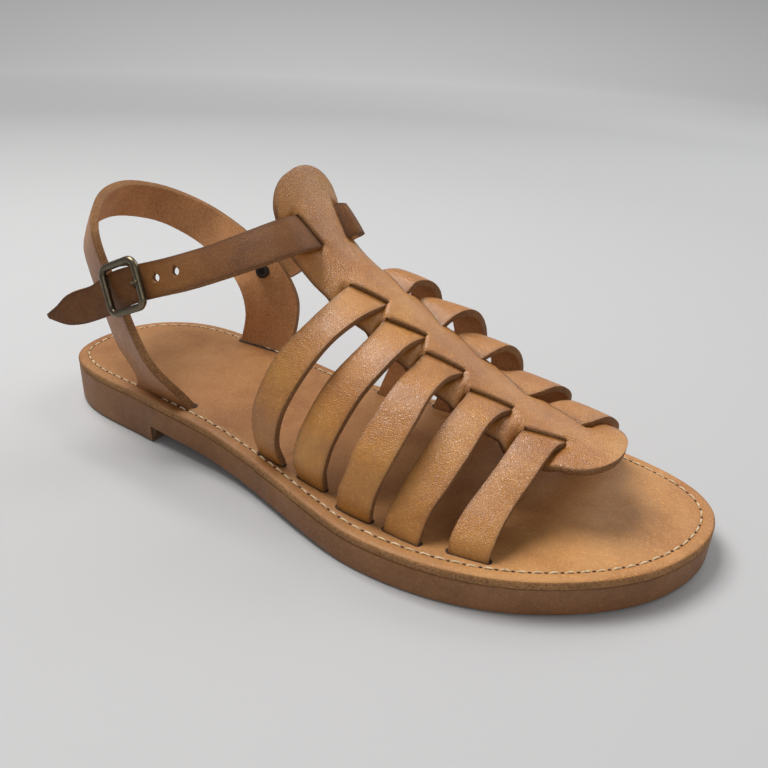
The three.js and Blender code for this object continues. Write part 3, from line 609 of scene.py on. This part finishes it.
straps, strap_grids = {}, {}
for i, key in enumerate(["s1", "s2", "s3", "s4", "s5"]):
    o_, m_, i_ = path(VAMP[key], key, 0)
    rows = [foot(o_[0])] + o_ + m_ + i_ + [foot(i_[-1])]
    A, B = edges_of(rows)
    ys = None

    def shade(P, L, key=key):
        v = np.abs(P[..., 1] - SPINE_Y)
        s0, v0, s1, v1 = slits[key]
        f = np.linspace(0, 1, P.shape[1])[None]
        c = v0 + (v1 - v0) * f
        near = np.exp(-((v - c - 0.4) / 1.1) ** 2) * 0.55
        z = P[..., 2] - bed(P[..., 0])
        return np.clip(near * (P[..., 2] > 30) + np.exp(-np.maximum(z, 0) / 1.4) * 0.5 * (z < 6), 0, 1)
    o, P, nn = band("strap_" + key, A, B, 150, STRAP_T, [M_GRAIN, M_EDGE, M_FLESH], seed=i + 3, shade=shade)
    strap_grids[key] = (P, nn)
    straps[key] = o

o_, m_, i_ = path(ANKLE, "ankle", STRAP_T / 2)
A, B = edges_of(o_ + m_ + i_)


def shade_a(P, L):
    v = np.abs(P[..., 1] - SPINE_Y)
    s0, v0, s1, v1 = slits["ankle"]
    f = np.linspace(0, 1, P.shape[1])[None]
    near = np.exp(-((v - (v0 + (v1 - v0) * f) - 0.4) / 1.2) ** 2) * 0.5
    return np.clip(near * (P[..., 0] > 104), 0, 1)


ankle, P, nn = band("ankle_strap", A, B, 230, STRAP_T, [M_ANKLE, M_EDGE, M_FLESH], seed=11, shade=shade_a)
strap_grids["ankle"] = (P, nn)

# spine sheet with open slits
step = 0.8
marks = {0.0, LEN}
for s0, v0, s1, v1 in slits.values():
    marks |= {s0, s1}
marks = sorted(marks)
rows_s = []
for a, b in zip(marks[:-1], marks[1:]):
    k = max(2, int(round((b - a) / step)))
    rows_s += list(a + (b - a) * np.arange(k) / k)
rows_s += [0.2, 0.45, 1.2, LEN - 0.2, LEN - 0.45, LEN - 1.2, LEN]
rows_s = np.array(sorted(set(rows_s)))
half_s = half_at(rows_s)
order = sorted(slits.values())
cs, cv = [0.0], [order[0][1]]
for s0, v0, s1, v1 in order:
    cs += [s0, s1]
    cv += [v0, v1]
cs.append(LEN); cv.append(order[-1][3])
col_c = np.minimum(np.interp(rows_s, cs, cv), 0.62 * half_s)
is_open = np.zeros(len(rows_s), bool)
amp = np.zeros(len(rows_s))
for s0, v0, s1, v1 in order:
    inside = (rows_s > s0 + 1e-6) & (rows_s < s1 - 1e-6)
    is_open |= inside
    t = (rows_s - s0) / (s1 - s0)
    amp = np.where(inside, smooth(np.minimum(t, 1 - t) / 0.13), amp)
body = np.zeros(len(rows_s))
for s0, v0, s1, v1 in order:
    body = np.maximum(body, smooth((rows_s - s0 + 2.5) / 4) * smooth((s1 + 2.5 - rows_s) / 4))
NB, NC = 9, 12
verts, faces, eds, shd = [], [], [], []


def push(P, e, sh):
    verts.append(P); eds.append(e); shd.append(sh)
    return len(verts) - 1


clouds = {k: (g[0].reshape(-1, 3), np.repeat(g[1], g[0].shape[1], axis=0)) for k, g in strap_grids.items()}
def soften(a, sigma):
    out = np.zeros_like(a)
    for q, s_ in enumerate(rows_s):
        w = np.exp(-((rows_s - s_) / sigma) ** 2 / 2) * np.gradient(rows_s)
        out[q] = (w * a).sum() / w.sum()
    return out


first, last = order[1][0], order[-1][2]
vamp_run = smooth((rows_s - first + 6) / 8) * smooth((last + 6 - rows_s) / 8)
centre_d = UP * np.maximum(vamp_run, soften(body, 2.5))
edge_d = UP * np.maximum(soften(amp, 1.6), 0.75 * smooth((rows_s - order[1][0] + 1) / 5) * smooth((order[-1][2] + 1 - rows_s) / 5))
grid_c, grid_l, grid_r = [], [], []
border = {-1: np.zeros((len(rows_s), NB + 1)), 1: np.zeros((len(rows_s), NB + 1))}
bpts = {-1: np.zeros((len(rows_s), NB + 1, 3)), 1: np.zeros((len(rows_s), NB + 1, 3))}
for side in (-1, 1):
    for k in range(NB + 1):
        f = k / NB
        v = (col_c + (half_s - col_c) * f) * side
        d0 = -amp * (STRAP_T + DIVE + 0.15) * (1 - f) - amp * 0.3 * f
        # where a strap lies above, keep below its inner face
        P0 = face_at(rows_s, v)
        _, n, _, _ = at_s(rows_s)
        lim = np.full(len(rows_s), 9.0)
        for key, (Q, nq) in clouds.items():
            s0, v0, s1, v1 = slits[key]
            sel = np.where((rows_s > s0 - 3.5) & (rows_s < s1 + 3.5))[0]
            keep = (Q[:, 1] - SPINE_Y) * side > 3
            keep &= np.abs(Q[:, 1] - SPINE_Y) < 26
            Qi = Q[keep] - nq[keep] * (STRAP_T + 0.12)
            for r_ in sel:
                D = Qi - P0[r_]
                h = D @ n[r_]
                lat = np.linalg.norm(D - h[:, None] * n[r_], axis=1)
                m_ = lat < 1.5
                if m_.any():
                    lim[r_] = min(lim[r_], h[m_].min())
        d = np.minimum(d0, np.where(lim < 8, lim, 9.0))
        d = np.where(is_open | (lim < 8), d, d0 + 0.0)
        border[side][:, k] = d
    # smooth along the spine, keep the shared end rows at zero next to the slit
    B_ = border[side]
    B_ = np.maximum(B_, -3.9)
    for k in range(NB + 1):
        B_[:, k] = soften(B_[:, k], 0.5 + 0.12 * k)
    wgt = np.exp(-np.arange(NB + 1) / 1.6)[None]
    B_ = np.where(is_open[:, None], B_, B_ * (1 - wgt) + edge_d[:, None] * wgt)
    tip = smooth(np.minimum(rows_s, LEN - rows_s) / 3)[:, None]
    B_ = B_ * np.where(tip < 1, tip, 1)
    for k in range(NB + 1):
        f = k / NB
        bpts[side][:, k] = face_at(rows_s, (col_c + (half_s - col_c) * f) * side, B_[:, k])

for j, s in enumerate(rows_s):
    # centre strip
    row = []
    for k in range(NC + 1):
        f = 2 * k / NC - 1
        v = f * col_c[j]
        d = 0.9 * centre_d[j] * (1 - f ** 6) + edge_d[j] * f ** 6
        P = face_at(np.array([s]), np.array([v]), np.array([d]))[0]
        e = min(half_s[j] - abs(v), (1 - abs(f)) * col_c[j] + (0 if is_open[j] else 9))
        row.append(push(P, e, 0.0))
    grid_c.append(row)
    for side, store in ((-1, grid_l), (1, grid_r)):
        row_b = []
        for k in range(NB + 1):
            if k == 0 and not is_open[j]:
                row_b.append(grid_c[j][0 if side < 0 else NC])
                continue
            f = k / NB
            v = col_c[j] + (half_s[j] - col_c[j]) * f
            sh = amp[j] * max(0, 1 - f * 1.3) * 0.8
            row_b.append(push(bpts[side][j, k], half_s[j] - v + 0.0, sh))
        store.append(row_b)
for j in range(len(rows_s) - 1):
    for k in range(NC):
        faces.append((grid_c[j][k], grid_c[j][k + 1], grid_c[j + 1][k + 1], grid_c[j + 1][k]))
    for k in range(NB):
        faces.append((grid_l[j][k], grid_l[j + 1][k], grid_l[j + 1][k + 1], grid_l[j][k + 1]))
        faces.append((grid_r[j][k], grid_r[j][k + 1], grid_r[j + 1][k + 1], grid_r[j + 1][k]))
# wind the faces so that they face out: across (+y) x along (+s) points inwards here
faces = [f[::-1] for f in faces]
spine = add("spine", W(np.array(verts)), faces, [M_GRAIN, M_EDGE, M_FLESH],
            attrs={"edge": eds, "shade": shd}, slot="upper", node_names=("upper",))
bmn = bmesh.new(); bmn.from_mesh(spine.data)
bmesh.ops.dissolve_degenerate(bmn, edges=bmn.edges, dist=0.00002)
bmn.normal_update()
up = sum((f.normal.z for f in bmn.faces)) 
if up < 0:
    bmesh.ops.reverse_faces(bmn, faces=bmn.faces)
bmn.to_mesh(spine.data); bmn.free()
skin(spine, STRAP_T, 0.35)
spine.modifiers["thickness"].use_even_offset = False
weld = spine.modifiers.new("weld", "WELD")
weld.merge_threshold = 0.00003

# ----------------------------------------------------------- heel strap ----
A, B = edges_of(HEEL)
rowsH = [foot(HEEL[0])] + HEEL + [foot(HEEL[-1])]
A, B = edges_of(rowsH)


def shade_h(P, L):
    z = P[..., 2] - bed(P[..., 0])
    return np.exp(-np.maximum(z, 0) / 2.0) * 0.5 * (z < 8)


heel, PH, nH = band("heel_strap_band", A, B, 220, HEEL_T, [M_HEEL, M_EDGE, M_FLESH], across=12, lift=HEEL_T / 2, seed=21,
                    shade=shade_h, node_names=("heel_strap",), slot="heel_strap")

# ------------------------------------------------------- buckle and tab ----
rear, front = np.array([54.8, -40.45, 62.4]), np.array([72.8, -39.95, 70.7])
e1 = unit(front - rear)
e2 = np.array([-0.47, 0.16, 0.87]); e2 = unit(e2 - e2 @ e1 * e1)
e3 = np.cross(e1, e2)
chord = (rear + front) / 2
RISE, DROP, BL, BH, BR, BAR, CB, PR = 3.3, 6.9, 17.6, 16.2, 3.0, 1.3, 0.95, 0.75


def bk(a, b, c):
    return chord + a * e1 + b * e2 + c * e3


def tube(path, r, sides=16, closed=False, squash=None, cap=True):
    path = np.asarray(path, float)
    n = len(path)
    nxt = np.roll(path, -1, 0) if closed else np.vstack([path[1:], path[-1:]])
    prv = np.roll(path, 1, 0) if closed else np.vstack([path[:1], path[:-1]])
    T = unit(nxt - prv)
    u = np.array([0, 0, 1.0]) if abs(T[0][2]) < 0.8 else np.array([0, 1.0, 0])
    V_ = []
    rr = r if hasattr(r, "__len__") else [r] * n
    for i in range(n):
        u = unit(u - u @ T[i] * T[i])
        w = np.cross(T[i], u)
        for k in range(sides):
            f = 2 * np.pi * k / sides
            V_.append(path[i] + rr[i] * (np.cos(f) * u + np.sin(f) * w))
    F_ = []
    for i in range(n if closed else n - 1):
        a0, b0 = i * sides, ((i + 1) % n) * sides
        for k in range(sides):
            k1 = (k + 1) % sides
            F_.append((a0 + k, a0 + k1, b0 + k1, b0 + k))
    if not closed and cap:
        F_.append(tuple(range(sides))[::-1])
        F_.append(tuple((n - 1) * sides + k for k in range(sides)))
    return np.array(V_), F_


def merge(parts):
    V_, F_, off = [], [], 0
    for v, f in parts:
        V_.append(v)
        F_ += [tuple(i + off for i in q) for q in f]
        off += len(v)
    return np.vstack(V_), F_


L2, H2 = BL / 2, BH / 2
ring = []
for cx, cy, a0 in ((L2 - BR, H2 - BR, 0), (-L2 + BR, H2 - BR, 90), (-L2 + BR, -H2 + BR, 180), (L2 - BR, -H2 + BR, 270)):
    for k in range(11):
        f = math.radians(a0 + 9 * k)
        ring.append(bk(cx + BR * math.cos(f), cy + BR * math.sin(f), RISE))
ring, _ = even(np.array(ring), 0.8, closed=True)
yb = H2 - 0.2
staple = spline([bk(0, y, RISE + z) for y, z in ((-yb, 0), (-yb, -DROP + 2.4), (-yb + 0.7, -DROP + 0.7), (-yb + 2.4, -DROP), (0, -DROP),
                                                 (yb - 2.4, -DROP), (yb - 0.7, -DROP + 0.7), (yb, -DROP + 2.4), (yb, 0))], np.linspace(0, 1, 60))
v, f = merge([tube(ring, BAR, 18, True), tube(staple, CB, 14)])
add("buckle_wire", W(v), f, [M_METAL], node_names=("buckle_frame",), slot="buckle_frame")
c0, rr_ = RISE - DROP, CB + 0.3 + PR
loop = [bk(rr_ * math.cos(t), 0, c0 + rr_ * math.sin(t)) for t in np.linspace(0, 2 * math.pi, 33)[:-1]]
top = RISE + BAR + PR + 0.12
arm = spline([bk(a, 0, c) for a, c in ((rr_ * 0.7, c0 + rr_ * 0.7), (3.2, -1.9), (4.2, -0.6), (5.1, 1.6), (6.6, top - 1.1), (L2 - 0.4, top), (L2 + 1.5, top - 0.25))],
             np.linspace(0, 1, 50))
v, f = merge([tube(loop, PR, 12, True), tube(arm, list(PR * (1 - 0.4 * np.linspace(0, 1, 50))), 14)])
add("buckle_tongue", W(v), f, [M_METAL], node_names=("buckle_prong",), slot="buckle_prong")

# leather tab: one loop round the centre bar with a slot for the tongue, and a tail on the heel strap
TW = 4.0
for nm, b0, b1 in (("tab_loop_top", 1.15, TW), ("tab_loop_low", -TW, -1.15)):
    ang = np.linspace(0, 2 * np.pi, 40)
    rmid = CB + 0.3 + 0.95
    A = np.array([bk(rmid * math.cos(t), b0, c0 + rmid * math.sin(t)) for t in ang])
    B = np.array([bk(rmid * math.cos(t), b1, c0 + rmid * math.sin(t)) for t in ang])
    n_ = unit(np.cross(B - A, np.gradient((A + B) / 2, axis=0)))
    out = unit((A + B) / 2 - bk(0, (b0 + b1) / 2, c0))
    if (n_ * out).sum() < 0:
        A, B = B, A
    P = np.stack([A * (1 - w) + B * w for w in (0, 0.5, 1)], 1)
    o = add(nm, W(P.reshape(-1, 3)), grid_faces(40, 3), [M_HEEL, M_EDGE, M_FLESH], attrs={"edge": np.full(120, 2.0), "shade": np.full(120, 0.2)}, slot="buckle_tab")
    skin(o, 0.85, 0.15)
tail_c = np.array([bk(-3.1, 0, c0), (57, -37.2, 62.9), (51, -37.05, 60.2), (47.2, -37.35, 58.5)])
A, B = tail_c - TW * e2, tail_c + TW * e2
if (normals(A, B) @ e3).sum() < 0:
    A, B = B, A
o, _, _ = band("tab_tail", A, B, 24, 1.3, [M_HEEL, M_EDGE, M_FLESH], across=6, crown=0.05, lift=0.65, node_names=("buckle_tab",), slot="buckle_tab")

# ---------------------------------------------------------------- rivet ----
rv_at, rv_ax = np.array([62.6, 32.3, 52.7]), unit(np.array([-0.27, 0.92, -0.29]))
q_ = Vector((0, 0, 1)).rotation_difference(Vector(rv_ax)).to_matrix()


def lathe(profile, at, R, sides=40):
    V_, F_ = [], []
    for r, h in profile:
        for k in range(sides):
            f = 2 * math.pi * k / sides
            V_.append(np.array(R @ Vector((r * math.cos(f), r * math.sin(f), h))) + at)
    for i in range(len(profile) - 1):
        for k in range(sides):
            k1 = (k + 1) % sides
            F_.append((i * sides + k, i * sides + k1, (i + 1) * sides + k1, (i + 1) * sides + k))
    F_.append(tuple(range(sides))[::-1])
    F_.append(tuple((len(profile) - 1) * sides + k for k in range(sides)))
    return np.array(V_), F_


hh = HEEL_T / 2 + 0.3
bb_ = hh + STRAP_T + 0.75
v, f = lathe([(0.05, -hh - 1.15), (0.9, -hh - 1.2), (1.7, -hh - 1.5), (2.3, -hh - 1.35), (2.8, -hh - 0.95), (3.0, -hh - 0.5), (3.0, -hh), (1.3, -hh),
              (1.3, bb_), (3.0, bb_), (3.0, bb_ + 0.5), (2.7, bb_ + 0.95), (2.0, bb_ + 1.3), (1.0, bb_ + 1.48), (0.05, bb_ + 1.5)], rv_at, q_)
add("rivet_cap", W(v), f, [M_RIVET], node_names=("rivet",), slot="rivet")

# holes punched in the ankle strap
def cut(o, holes, sides=24):
    cutters = []
    for at, axis, r, ln in holes:
        R = Vector((0, 0, 1)).rotation_difference(Vector(axis)).to_matrix()
        v, f = lathe([(r, -ln), (r, ln)], np.asarray(at, float), R, sides)
        me = bpy.data.meshes.new("cutter")
        me.from_pydata([tuple(x) for x in W(v)], [], f)
        for x in (M_EDGE,):
            me.materials.append(x)
        c = bpy.data.objects.new("cutter", me)
        bpy.context.scene.collection.objects.link(c)
        c.parent = o.parent
        mod = o.modifiers.new("hole", "BOOLEAN")
        mod.object, mod.operation, mod.solver = c, "DIFFERENCE", "EXACT"
        mod.material_mode = "TRANSFER"
        cutters.append(c)
    bake(o)
    for c in cutters:
        bpy.data.objects.remove(c)


cut(ankle, [(bk(4.6, 0, 0), e3, 1.75, 5), ((77.1, -40.4, 72.5), unit(e3 + np.array([0.55, 0, 0.12])), 1.35, 4), ((84.8, -38.9, 75.9), unit(e3 + np.array([0.55, 0, 0.12])), 1.35, 4),
            (rv_at, rv_ax, 1.5, 9)])

# ----------------------------------------------------------------- sole ----
lat = [(x, l) for x, l, m_ in SOLE]
med = [(x, m_) for x, l, m_ in SOLE]
loop_pts = np.array(lat + med[::-1], float)
dense = spline(loop_pts, np.linspace(0, 1, 2401)[:-1], closed=True)
outline, PERIM = even(dense, 1.25, closed=True)
# the heel breast needs points on both sides of it
snap = np.abs(outline[:, 0] - BREAST)
for sgn in (-1, 1):
    ids = np.where(outline[:, 1] * sgn > 0)[0]
    k = ids[np.argmin(snap[ids])]
    nb = k + (1 if outline[(k + 1) % len(outline), 0] > outline[k, 0] else -1)
    outline[k, 0] = BREAST - 0.05
    outline[nb % len(outline), 0] = BREAST + 0.05
tang = unit(np.roll(outline, -1, 0) - np.roll(outline, 1, 0))
inward = np.stack([-tang[:, 1], tang[:, 0]], 1)
cxy = outline.mean(0)
if ((cxy - outline) * inward).sum() < 0:
    inward = -inward
for _ in range(4):
    inward = unit(np.roll(inward, 1, 0) + 2 * inward + np.roll(inward, -1, 0))
NO = len(outline)


def fill(ringxy, zfun, spacing, extra_x=(), ox=None):
    """Triangles inside a ring of points, with interior points on a lattice."""
    pts = [Vector((float(x), float(y))) for x, y in ringxy]
    n0 = len(pts)
    poly = np.asarray(ringxy)
    lo, hi = poly.min(0), poly.max(0)
    xs = list(np.arange(lo[0] + spacing, hi[0], spacing)) + list(extra_x)
    for x in xs:
        ys = []
        for i in range(n0):
            a, b = poly[i], poly[(i + 1) % n0]
            if (a[0] - x) * (b[0] - x) < 0:
                ys.append(a[1] + (b[1] - a[1]) * (x - a[0]) / (b[0] - a[0]))
        if len(ys) < 2:
            continue
        y0, y1 = min(ys) + spacing * 0.6, max(ys) - spacing * 0.6
        if y1 <= y0:
            continue
        for y in np.linspace(y0, y1, max(2, int((y1 - y0) / spacing))):
            if all(abs(x - e) > spacing * 0.4 or x in extra_x for e in extra_x):
                pts.append(Vector((float(x), float(y))))
    edges = [(i, (i + 1) % n0) for i in range(n0)]
    r = geometry.delaunay_2d_cdt(pts, edges, [], 1, 1e-5)
    V_ = np.array([(p.x, p.y) for p in r[0]])
    return V_, [tuple(q) for q in r[2]], r[3]


def ringed(rings, cap_ring, cap_z, spacing, extra_x=(), cap_index=0, idx_rows=None):
    """Stack of rings (each NO x 3) closed by a filled cap on the last ring."""
    V_ = [r for r in rings]
    F_, MI = [], []
    for i in range(len(rings) - 1):
        a0, b0 = i * NO, (i + 1) * NO
        for k in range(NO):
            k1 = (k + 1) % NO
            F_.append((a0 + k, a0 + k1, b0 + k1, b0 + k))
            MI.append(idx_rows[i] if idx_rows else 0)
    cv_, cf_, orig = fill(cap_ring, None, spacing, extra_x)
    base = len(rings) * NO
    last = (len(rings) - 1) * NO
    mp = {}
    extra = []
    for i, o_ in enumerate(orig):
        hit = [q for q in o_ if q < NO]
        if hit:
            mp[i] = last + hit[0]
        else:
            mp[i] = base + len(extra)
            extra.append((cv_[i][0], cv_[i][1], float(cap_z(cv_[i][0], cv_[i][1]))))
    V_ = np.vstack(V_ + ([np.array(extra)] if extra else []))
    for q in cf_:
        F_.append(tuple(mp[i] for i in q))
        MI.append(cap_index)
    return V_, F_, MI


def bed_z(x, y):
    x, y = np.asarray(x, float), np.asarray(y, float)
    dip = 0.35 * np.exp(-(((x - 32) / 26) ** 2 + (y / 20) ** 2)) + 0.4 * np.exp(-(((x - 185) / 34) ** 2 + ((y + 3) / 30) ** 2))
    return bed(x) - dip


prof = [(0.25, -3.0, 1), (0.0, -2.7, 1), (0.0, -1.9, 1), (0.02, -1.2, 1), (0.12, -0.75, 1), (0.38, -0.36, 1), (0.8, -0.12, 0), (1.4, -0.01, 0), (2.4, 0.05, 0),
        (3.3, 0.02, 0), (3.75, -0.10, 0), (4.05, -0.26, 0), (4.32, -0.32, 0), (4.6, -0.26, 0), (4.9, -0.10, 0), (5.4, 0.0, 0), (6.4, 0.0, 0)]
rings = []
for ins, dz, _ in prof:
    xy = outline + inward * ins
    z = (bed(xy[:, 0]) if ins < 5.3 else bed_z(xy[:, 0], xy[:, 1])) + dz
    rings.append(np.column_stack([xy, z]))
V_, F_, MI = ringed(rings, rings[-1][:, :2], bed_z, 3.2, idx_rows=[p[2] for p in prof[1:]], cap_index=0)
ins_o = add("footbed", W(V_), F_, [M_BED, M_WELT], mat_index=MI, node_names=("insole",), slot="insole")

prof = [(0.9, 1.0), (0.35, 1.0), (0.08, 0.97), (0.0, 0.92), (0.0, 0.6), (0.0, 0.3), (0.0, 0.10), (0.12, 0.04), (0.45, 0.008), (1.0, 0.0)]
rings = []
for ins, f_ in prof:
    xy = outline + inward * ins
    z1 = bed(outline[:, 0]) - INSOLE_T - 0.12
    z0 = ground(outline[:, 0])
    rings.append(np.column_stack([xy, z0 + (z1 - z0) * f_]))
V_, F_, MI = ringed(rings, rings[-1][:, :2], lambda x, y: ground(x), 4.0, extra_x=(BREAST - 0.05, BREAST + 0.05),
                    idx_rows=[0] * 7 + [1] * 2, cap_index=1)
out_o = add("sole_unit", W(V_), F_, [M_SIDE, M_UNDER], mat_index=MI, node_names=("outsole",), slot="outsole")
for o in (ins_o, out_o):
    bm = bmesh.new(); bm.from_mesh(o.data)
    bmesh.ops.recalc_face_normals(bm, faces=bm.faces)
    bm.to_mesh(o.data); bm.free()
    mod = o.modifiers.new("sharp", "EDGE_SPLIT")
    mod.split_angle = math.radians(48)

# stitching
PITCH, INSET = 4.76, 4.32
line = outline + inward * INSET
line3 = np.column_stack([line, bed(line[:, 0])])
Q, total = even(line3, 0.2, closed=True)
nst = int(round(total / PITCH))
step_i = len(Q) / nst
threads, holes = [], []
rng = np.random.RandomState(5)
for k in range(nst):
    i0 = k * step_i
    ids = (i0 + np.linspace(0.14, 0.86, 9) * step_i).astype(int) % len(Q)
    seg = Q[ids].copy()
    arch = np.array([-0.75, -0.25, -0.02, 0.03, 0.05, 0.03, -0.02, -0.25, -0.75])
    seg[:, 2] += arch - 0.02
    side = inward[int(i0 / len(Q) * NO) % NO]
    seg[:, :2] += side * (rng.rand() - 0.5) * 0.25
    threads.append(tube(seg, [0.16, 0.26, 0.31, 0.33, 0.33, 0.33, 0.31, 0.26, 0.16], 7))
    # painted shade: a dark dished disc sunk under each stitch stands in for the needle hole
    hp = Q[int(i0) % len(Q)].copy()
    hp[2] -= 0.30
    holes.append(lathe([(0.05, 0.12), (0.42, 0.12), (0.62, 0.02), (0.66, -0.15)], hp, Matrix.Identity(3), 10))
v, f = merge(threads)
o = add("welt_thread", W(v), f, [M_THREAD], slot="insole")
v, f = merge(holes)
o = add("welt_hole_shades", W(v), f, [M_HOLE_SHADE], slot="insole")

# painted shade: flat near-black patches over the slots where the straps enter the footbed
def slot_shade_patch(a, b, thick, over, n_out, name):
    a, b = np.asarray(a, float), np.asarray(b, float)
    ax = unit((b - a) * np.array([1, 1, 0]))
    nx = np.array([-ax[1], ax[0], 0])
    if nx @ n_out < 0:
        nx = -nx
    c = (a + b) / 2 - nx * thick / 2
    hl, hw = np.linalg.norm((b - a)[:2]) / 2 + over, thick / 2 + 0.45
    pts = []
    for k in range(24):
        t = 2 * math.pi * k / 24
        sx, sy = math.cos(t), math.sin(t)
        p = c + ax * (math.copysign(hl - hw, sx) * (abs(sx) > 1e-9) + hw * sx) + nx * hw * sy
        p[2] = bed_z(p[0], p[1]) + 0.06
        pts.append(p)
    V_ = np.vstack([[c * [1, 1, 0] + [0, 0, float(bed_z(c[0], c[1])) + 0.06]], pts])
    return V_, [(0, 1 + k, 1 + (k + 1) % 24) for k in range(24)]


patches = []
for key, sdef in VAMP.items():
    r0, r1 = sdef["outer"][0], sdef["inner"][-1]
    patches.append(slot_shade_patch(r0[:3], r0[3:], STRAP_T, 0.9, np.array([0, -1.0, 0]), key))
    patches.append(slot_shade_patch(r1[:3], r1[3:], STRAP_T, 0.9, np.array([0, 1.0, 0]), key))
patches.append(slot_shade_patch(HEEL[0][:3], HEEL[0][3:], HEEL_T, 1.0, np.array([0, -1.0, 0]) , "h"))
patches.append(slot_shade_patch(HEEL[-1][:3], HEEL[-1][3:], HEEL_T, 1.0, np.array([0, 1.0, 0]), "h"))
v, f = merge(patches)
add("strap_slot_shades", W(v), f, [M_HOLE_SHADE], slot="insole")

# ---------------------------------------------------------------- stage ----
floor_me = bpy.data.meshes.new("floor")
rings_f = [0.0, 0.3, 0.6, 1.0, 1.4] + [1.4 + 0.25 * k for k in range(1, 33)]
fv, ff = [(0.0, 0.0, 0.0)], []
for r0 in rings_f[1:]:
    z0 = 0.0 if r0 <= 1.4 else 0.055 * (r0 - 1.4) ** 2
    for k in range(72):
        t0 = 2 * math.pi * k / 72
        fv.append((r0 * math.cos(t0), r0 * math.sin(t0), z0))
for k in range(72):
    ff.append((0, 1 + k, 1 + (k + 1) % 72))
for i_ in range(len(rings_f) - 2):
    for k in range(72):
        k1 = (k + 1) % 72
        ff.append((1 + i_ * 72 + k, 1 + (i_ + 1) * 72 + k, 1 + (i_ + 1) * 72 + k1, 1 + i_ * 72 + k1))
floor_me.from_pydata(fv, [], ff)
floor_me.shade_smooth()
floor = bpy.data.objects.new("floor", floor_me)
floor.location.z = -0.0002
bpy.context.scene.collection.objects.link(floor)
m, nt, b = mat("floor_paper")
tc = nt.nodes.new("ShaderNodeTexCoord").outputs["Object"]
ln = nt.nodes.new("ShaderNodeVectorMath"); ln.operation = "LENGTH"
nt.links.new(tc, ln.inputs[0])
mr = node(nt, "ShaderNodeMapRange")
nt.links.new(ln.outputs["Value"], mr.inputs["Value"])
mr.inputs["From Min"].default_value, mr.inputs["From Max"].default_value = 0.2, 3.2
# painted light and shade: the paper is darker around the shoe and brighter out on the far sweep
nt.links.new(ramp(nt, mr.outputs["Result"], [(0.0, (0.465, 0.462, 0.463)), (0.12, (0.455, 0.455, 0.455)), (0.26, (0.50, 0.50, 0.50)), (0.45, (0.78, 0.78, 0.78)), (1.0, (0.84, 0.84, 0.84))]), b.inputs["Base Color"])
b.inputs["Roughness"].default_value = 0.75
b.inputs["Specular IOR Level"].default_value = 0.2
floor_me.materials.append(m)

world = bpy.data.worlds.new("studio")
bpy.context.scene.world = world
world.use_nodes = True
world.node_tree.nodes["Background"].inputs["Color"].default_value = (0.99, 0.995, 1.0, 1)
world.node_tree.nodes["Background"].inputs["Strength"].default_value = 0.30


def area(name, loc, target, size, power, color=(1, 1, 1)):
    d = bpy.data.lights.new(name, "AREA")
    d.shape = "RECTANGLE"
    d.size, d.size_y = size
    d.energy = power
    d.color = color
    o = bpy.data.objects.new(name, d)
    o.location = loc
    o.rotation_mode = "QUATERNION"
    o.rotation_quaternion = (Vector(target) - Vector(loc)).to_track_quat("-Z", "Y")
    bpy.context.scene.collection.objects.link(o)
    return o


area("key", (-0.42, -0.02, 0.95), (0.0, 0.0, 0.03), (0.50, 0.50), 11.2, (1.0, 0.993, 0.985))
area("back", (0.35, 0.95, 0.75), (0.0, 0.0, 0.03), (0.9, 0.6), 5.0, (0.98, 0.99, 1.0))
area("wash", (-0.9, 1.4, 1.8), (-1.6, 2.9, 0.0), (1.6, 1.2), 13.0)
area("fill", (0.75, -0.7, 0.45), (0.0, 0.0, 0.04), (0.8, 0.6), 2.1, (1, 1, 1))

# --------------------------------------------------------------- camera ----
cam_d = bpy.data.cameras.new("camera")
cam = bpy.data.objects.new("camera", cam_d)
bpy.context.scene.collection.objects.link(cam)
bpy.context.scene.camera = cam
Cc = W([262.515, -207.254, 157.781])
r_, u_, f_ = np.array([0.85381, 0.51863, 0.04501]), np.array([-0.26967, 0.36666, 0.89041]), np.array([-0.44529, 0.77239, -0.45292])
M_ = Matrix(((r_[0], u_[0], -f_[0], Cc[0]), (r_[1], u_[1], -f_[1], Cc[1]), (r_[2], u_[2], -f_[2], Cc[2]), (0, 0, 0, 1)))
cam.matrix_world = M_
cam_d.sensor_width = 36.0
cam_d.lens = 753.366 / 768 * 36.0
cam_d.clip_start, cam_d.clip_end = 0.01, 60.0
bpy.context.scene.view_settings.view_transform = "Standard"
bpy.context.scene.view_settings.look = "None"

bpy.context.view_layer.update()
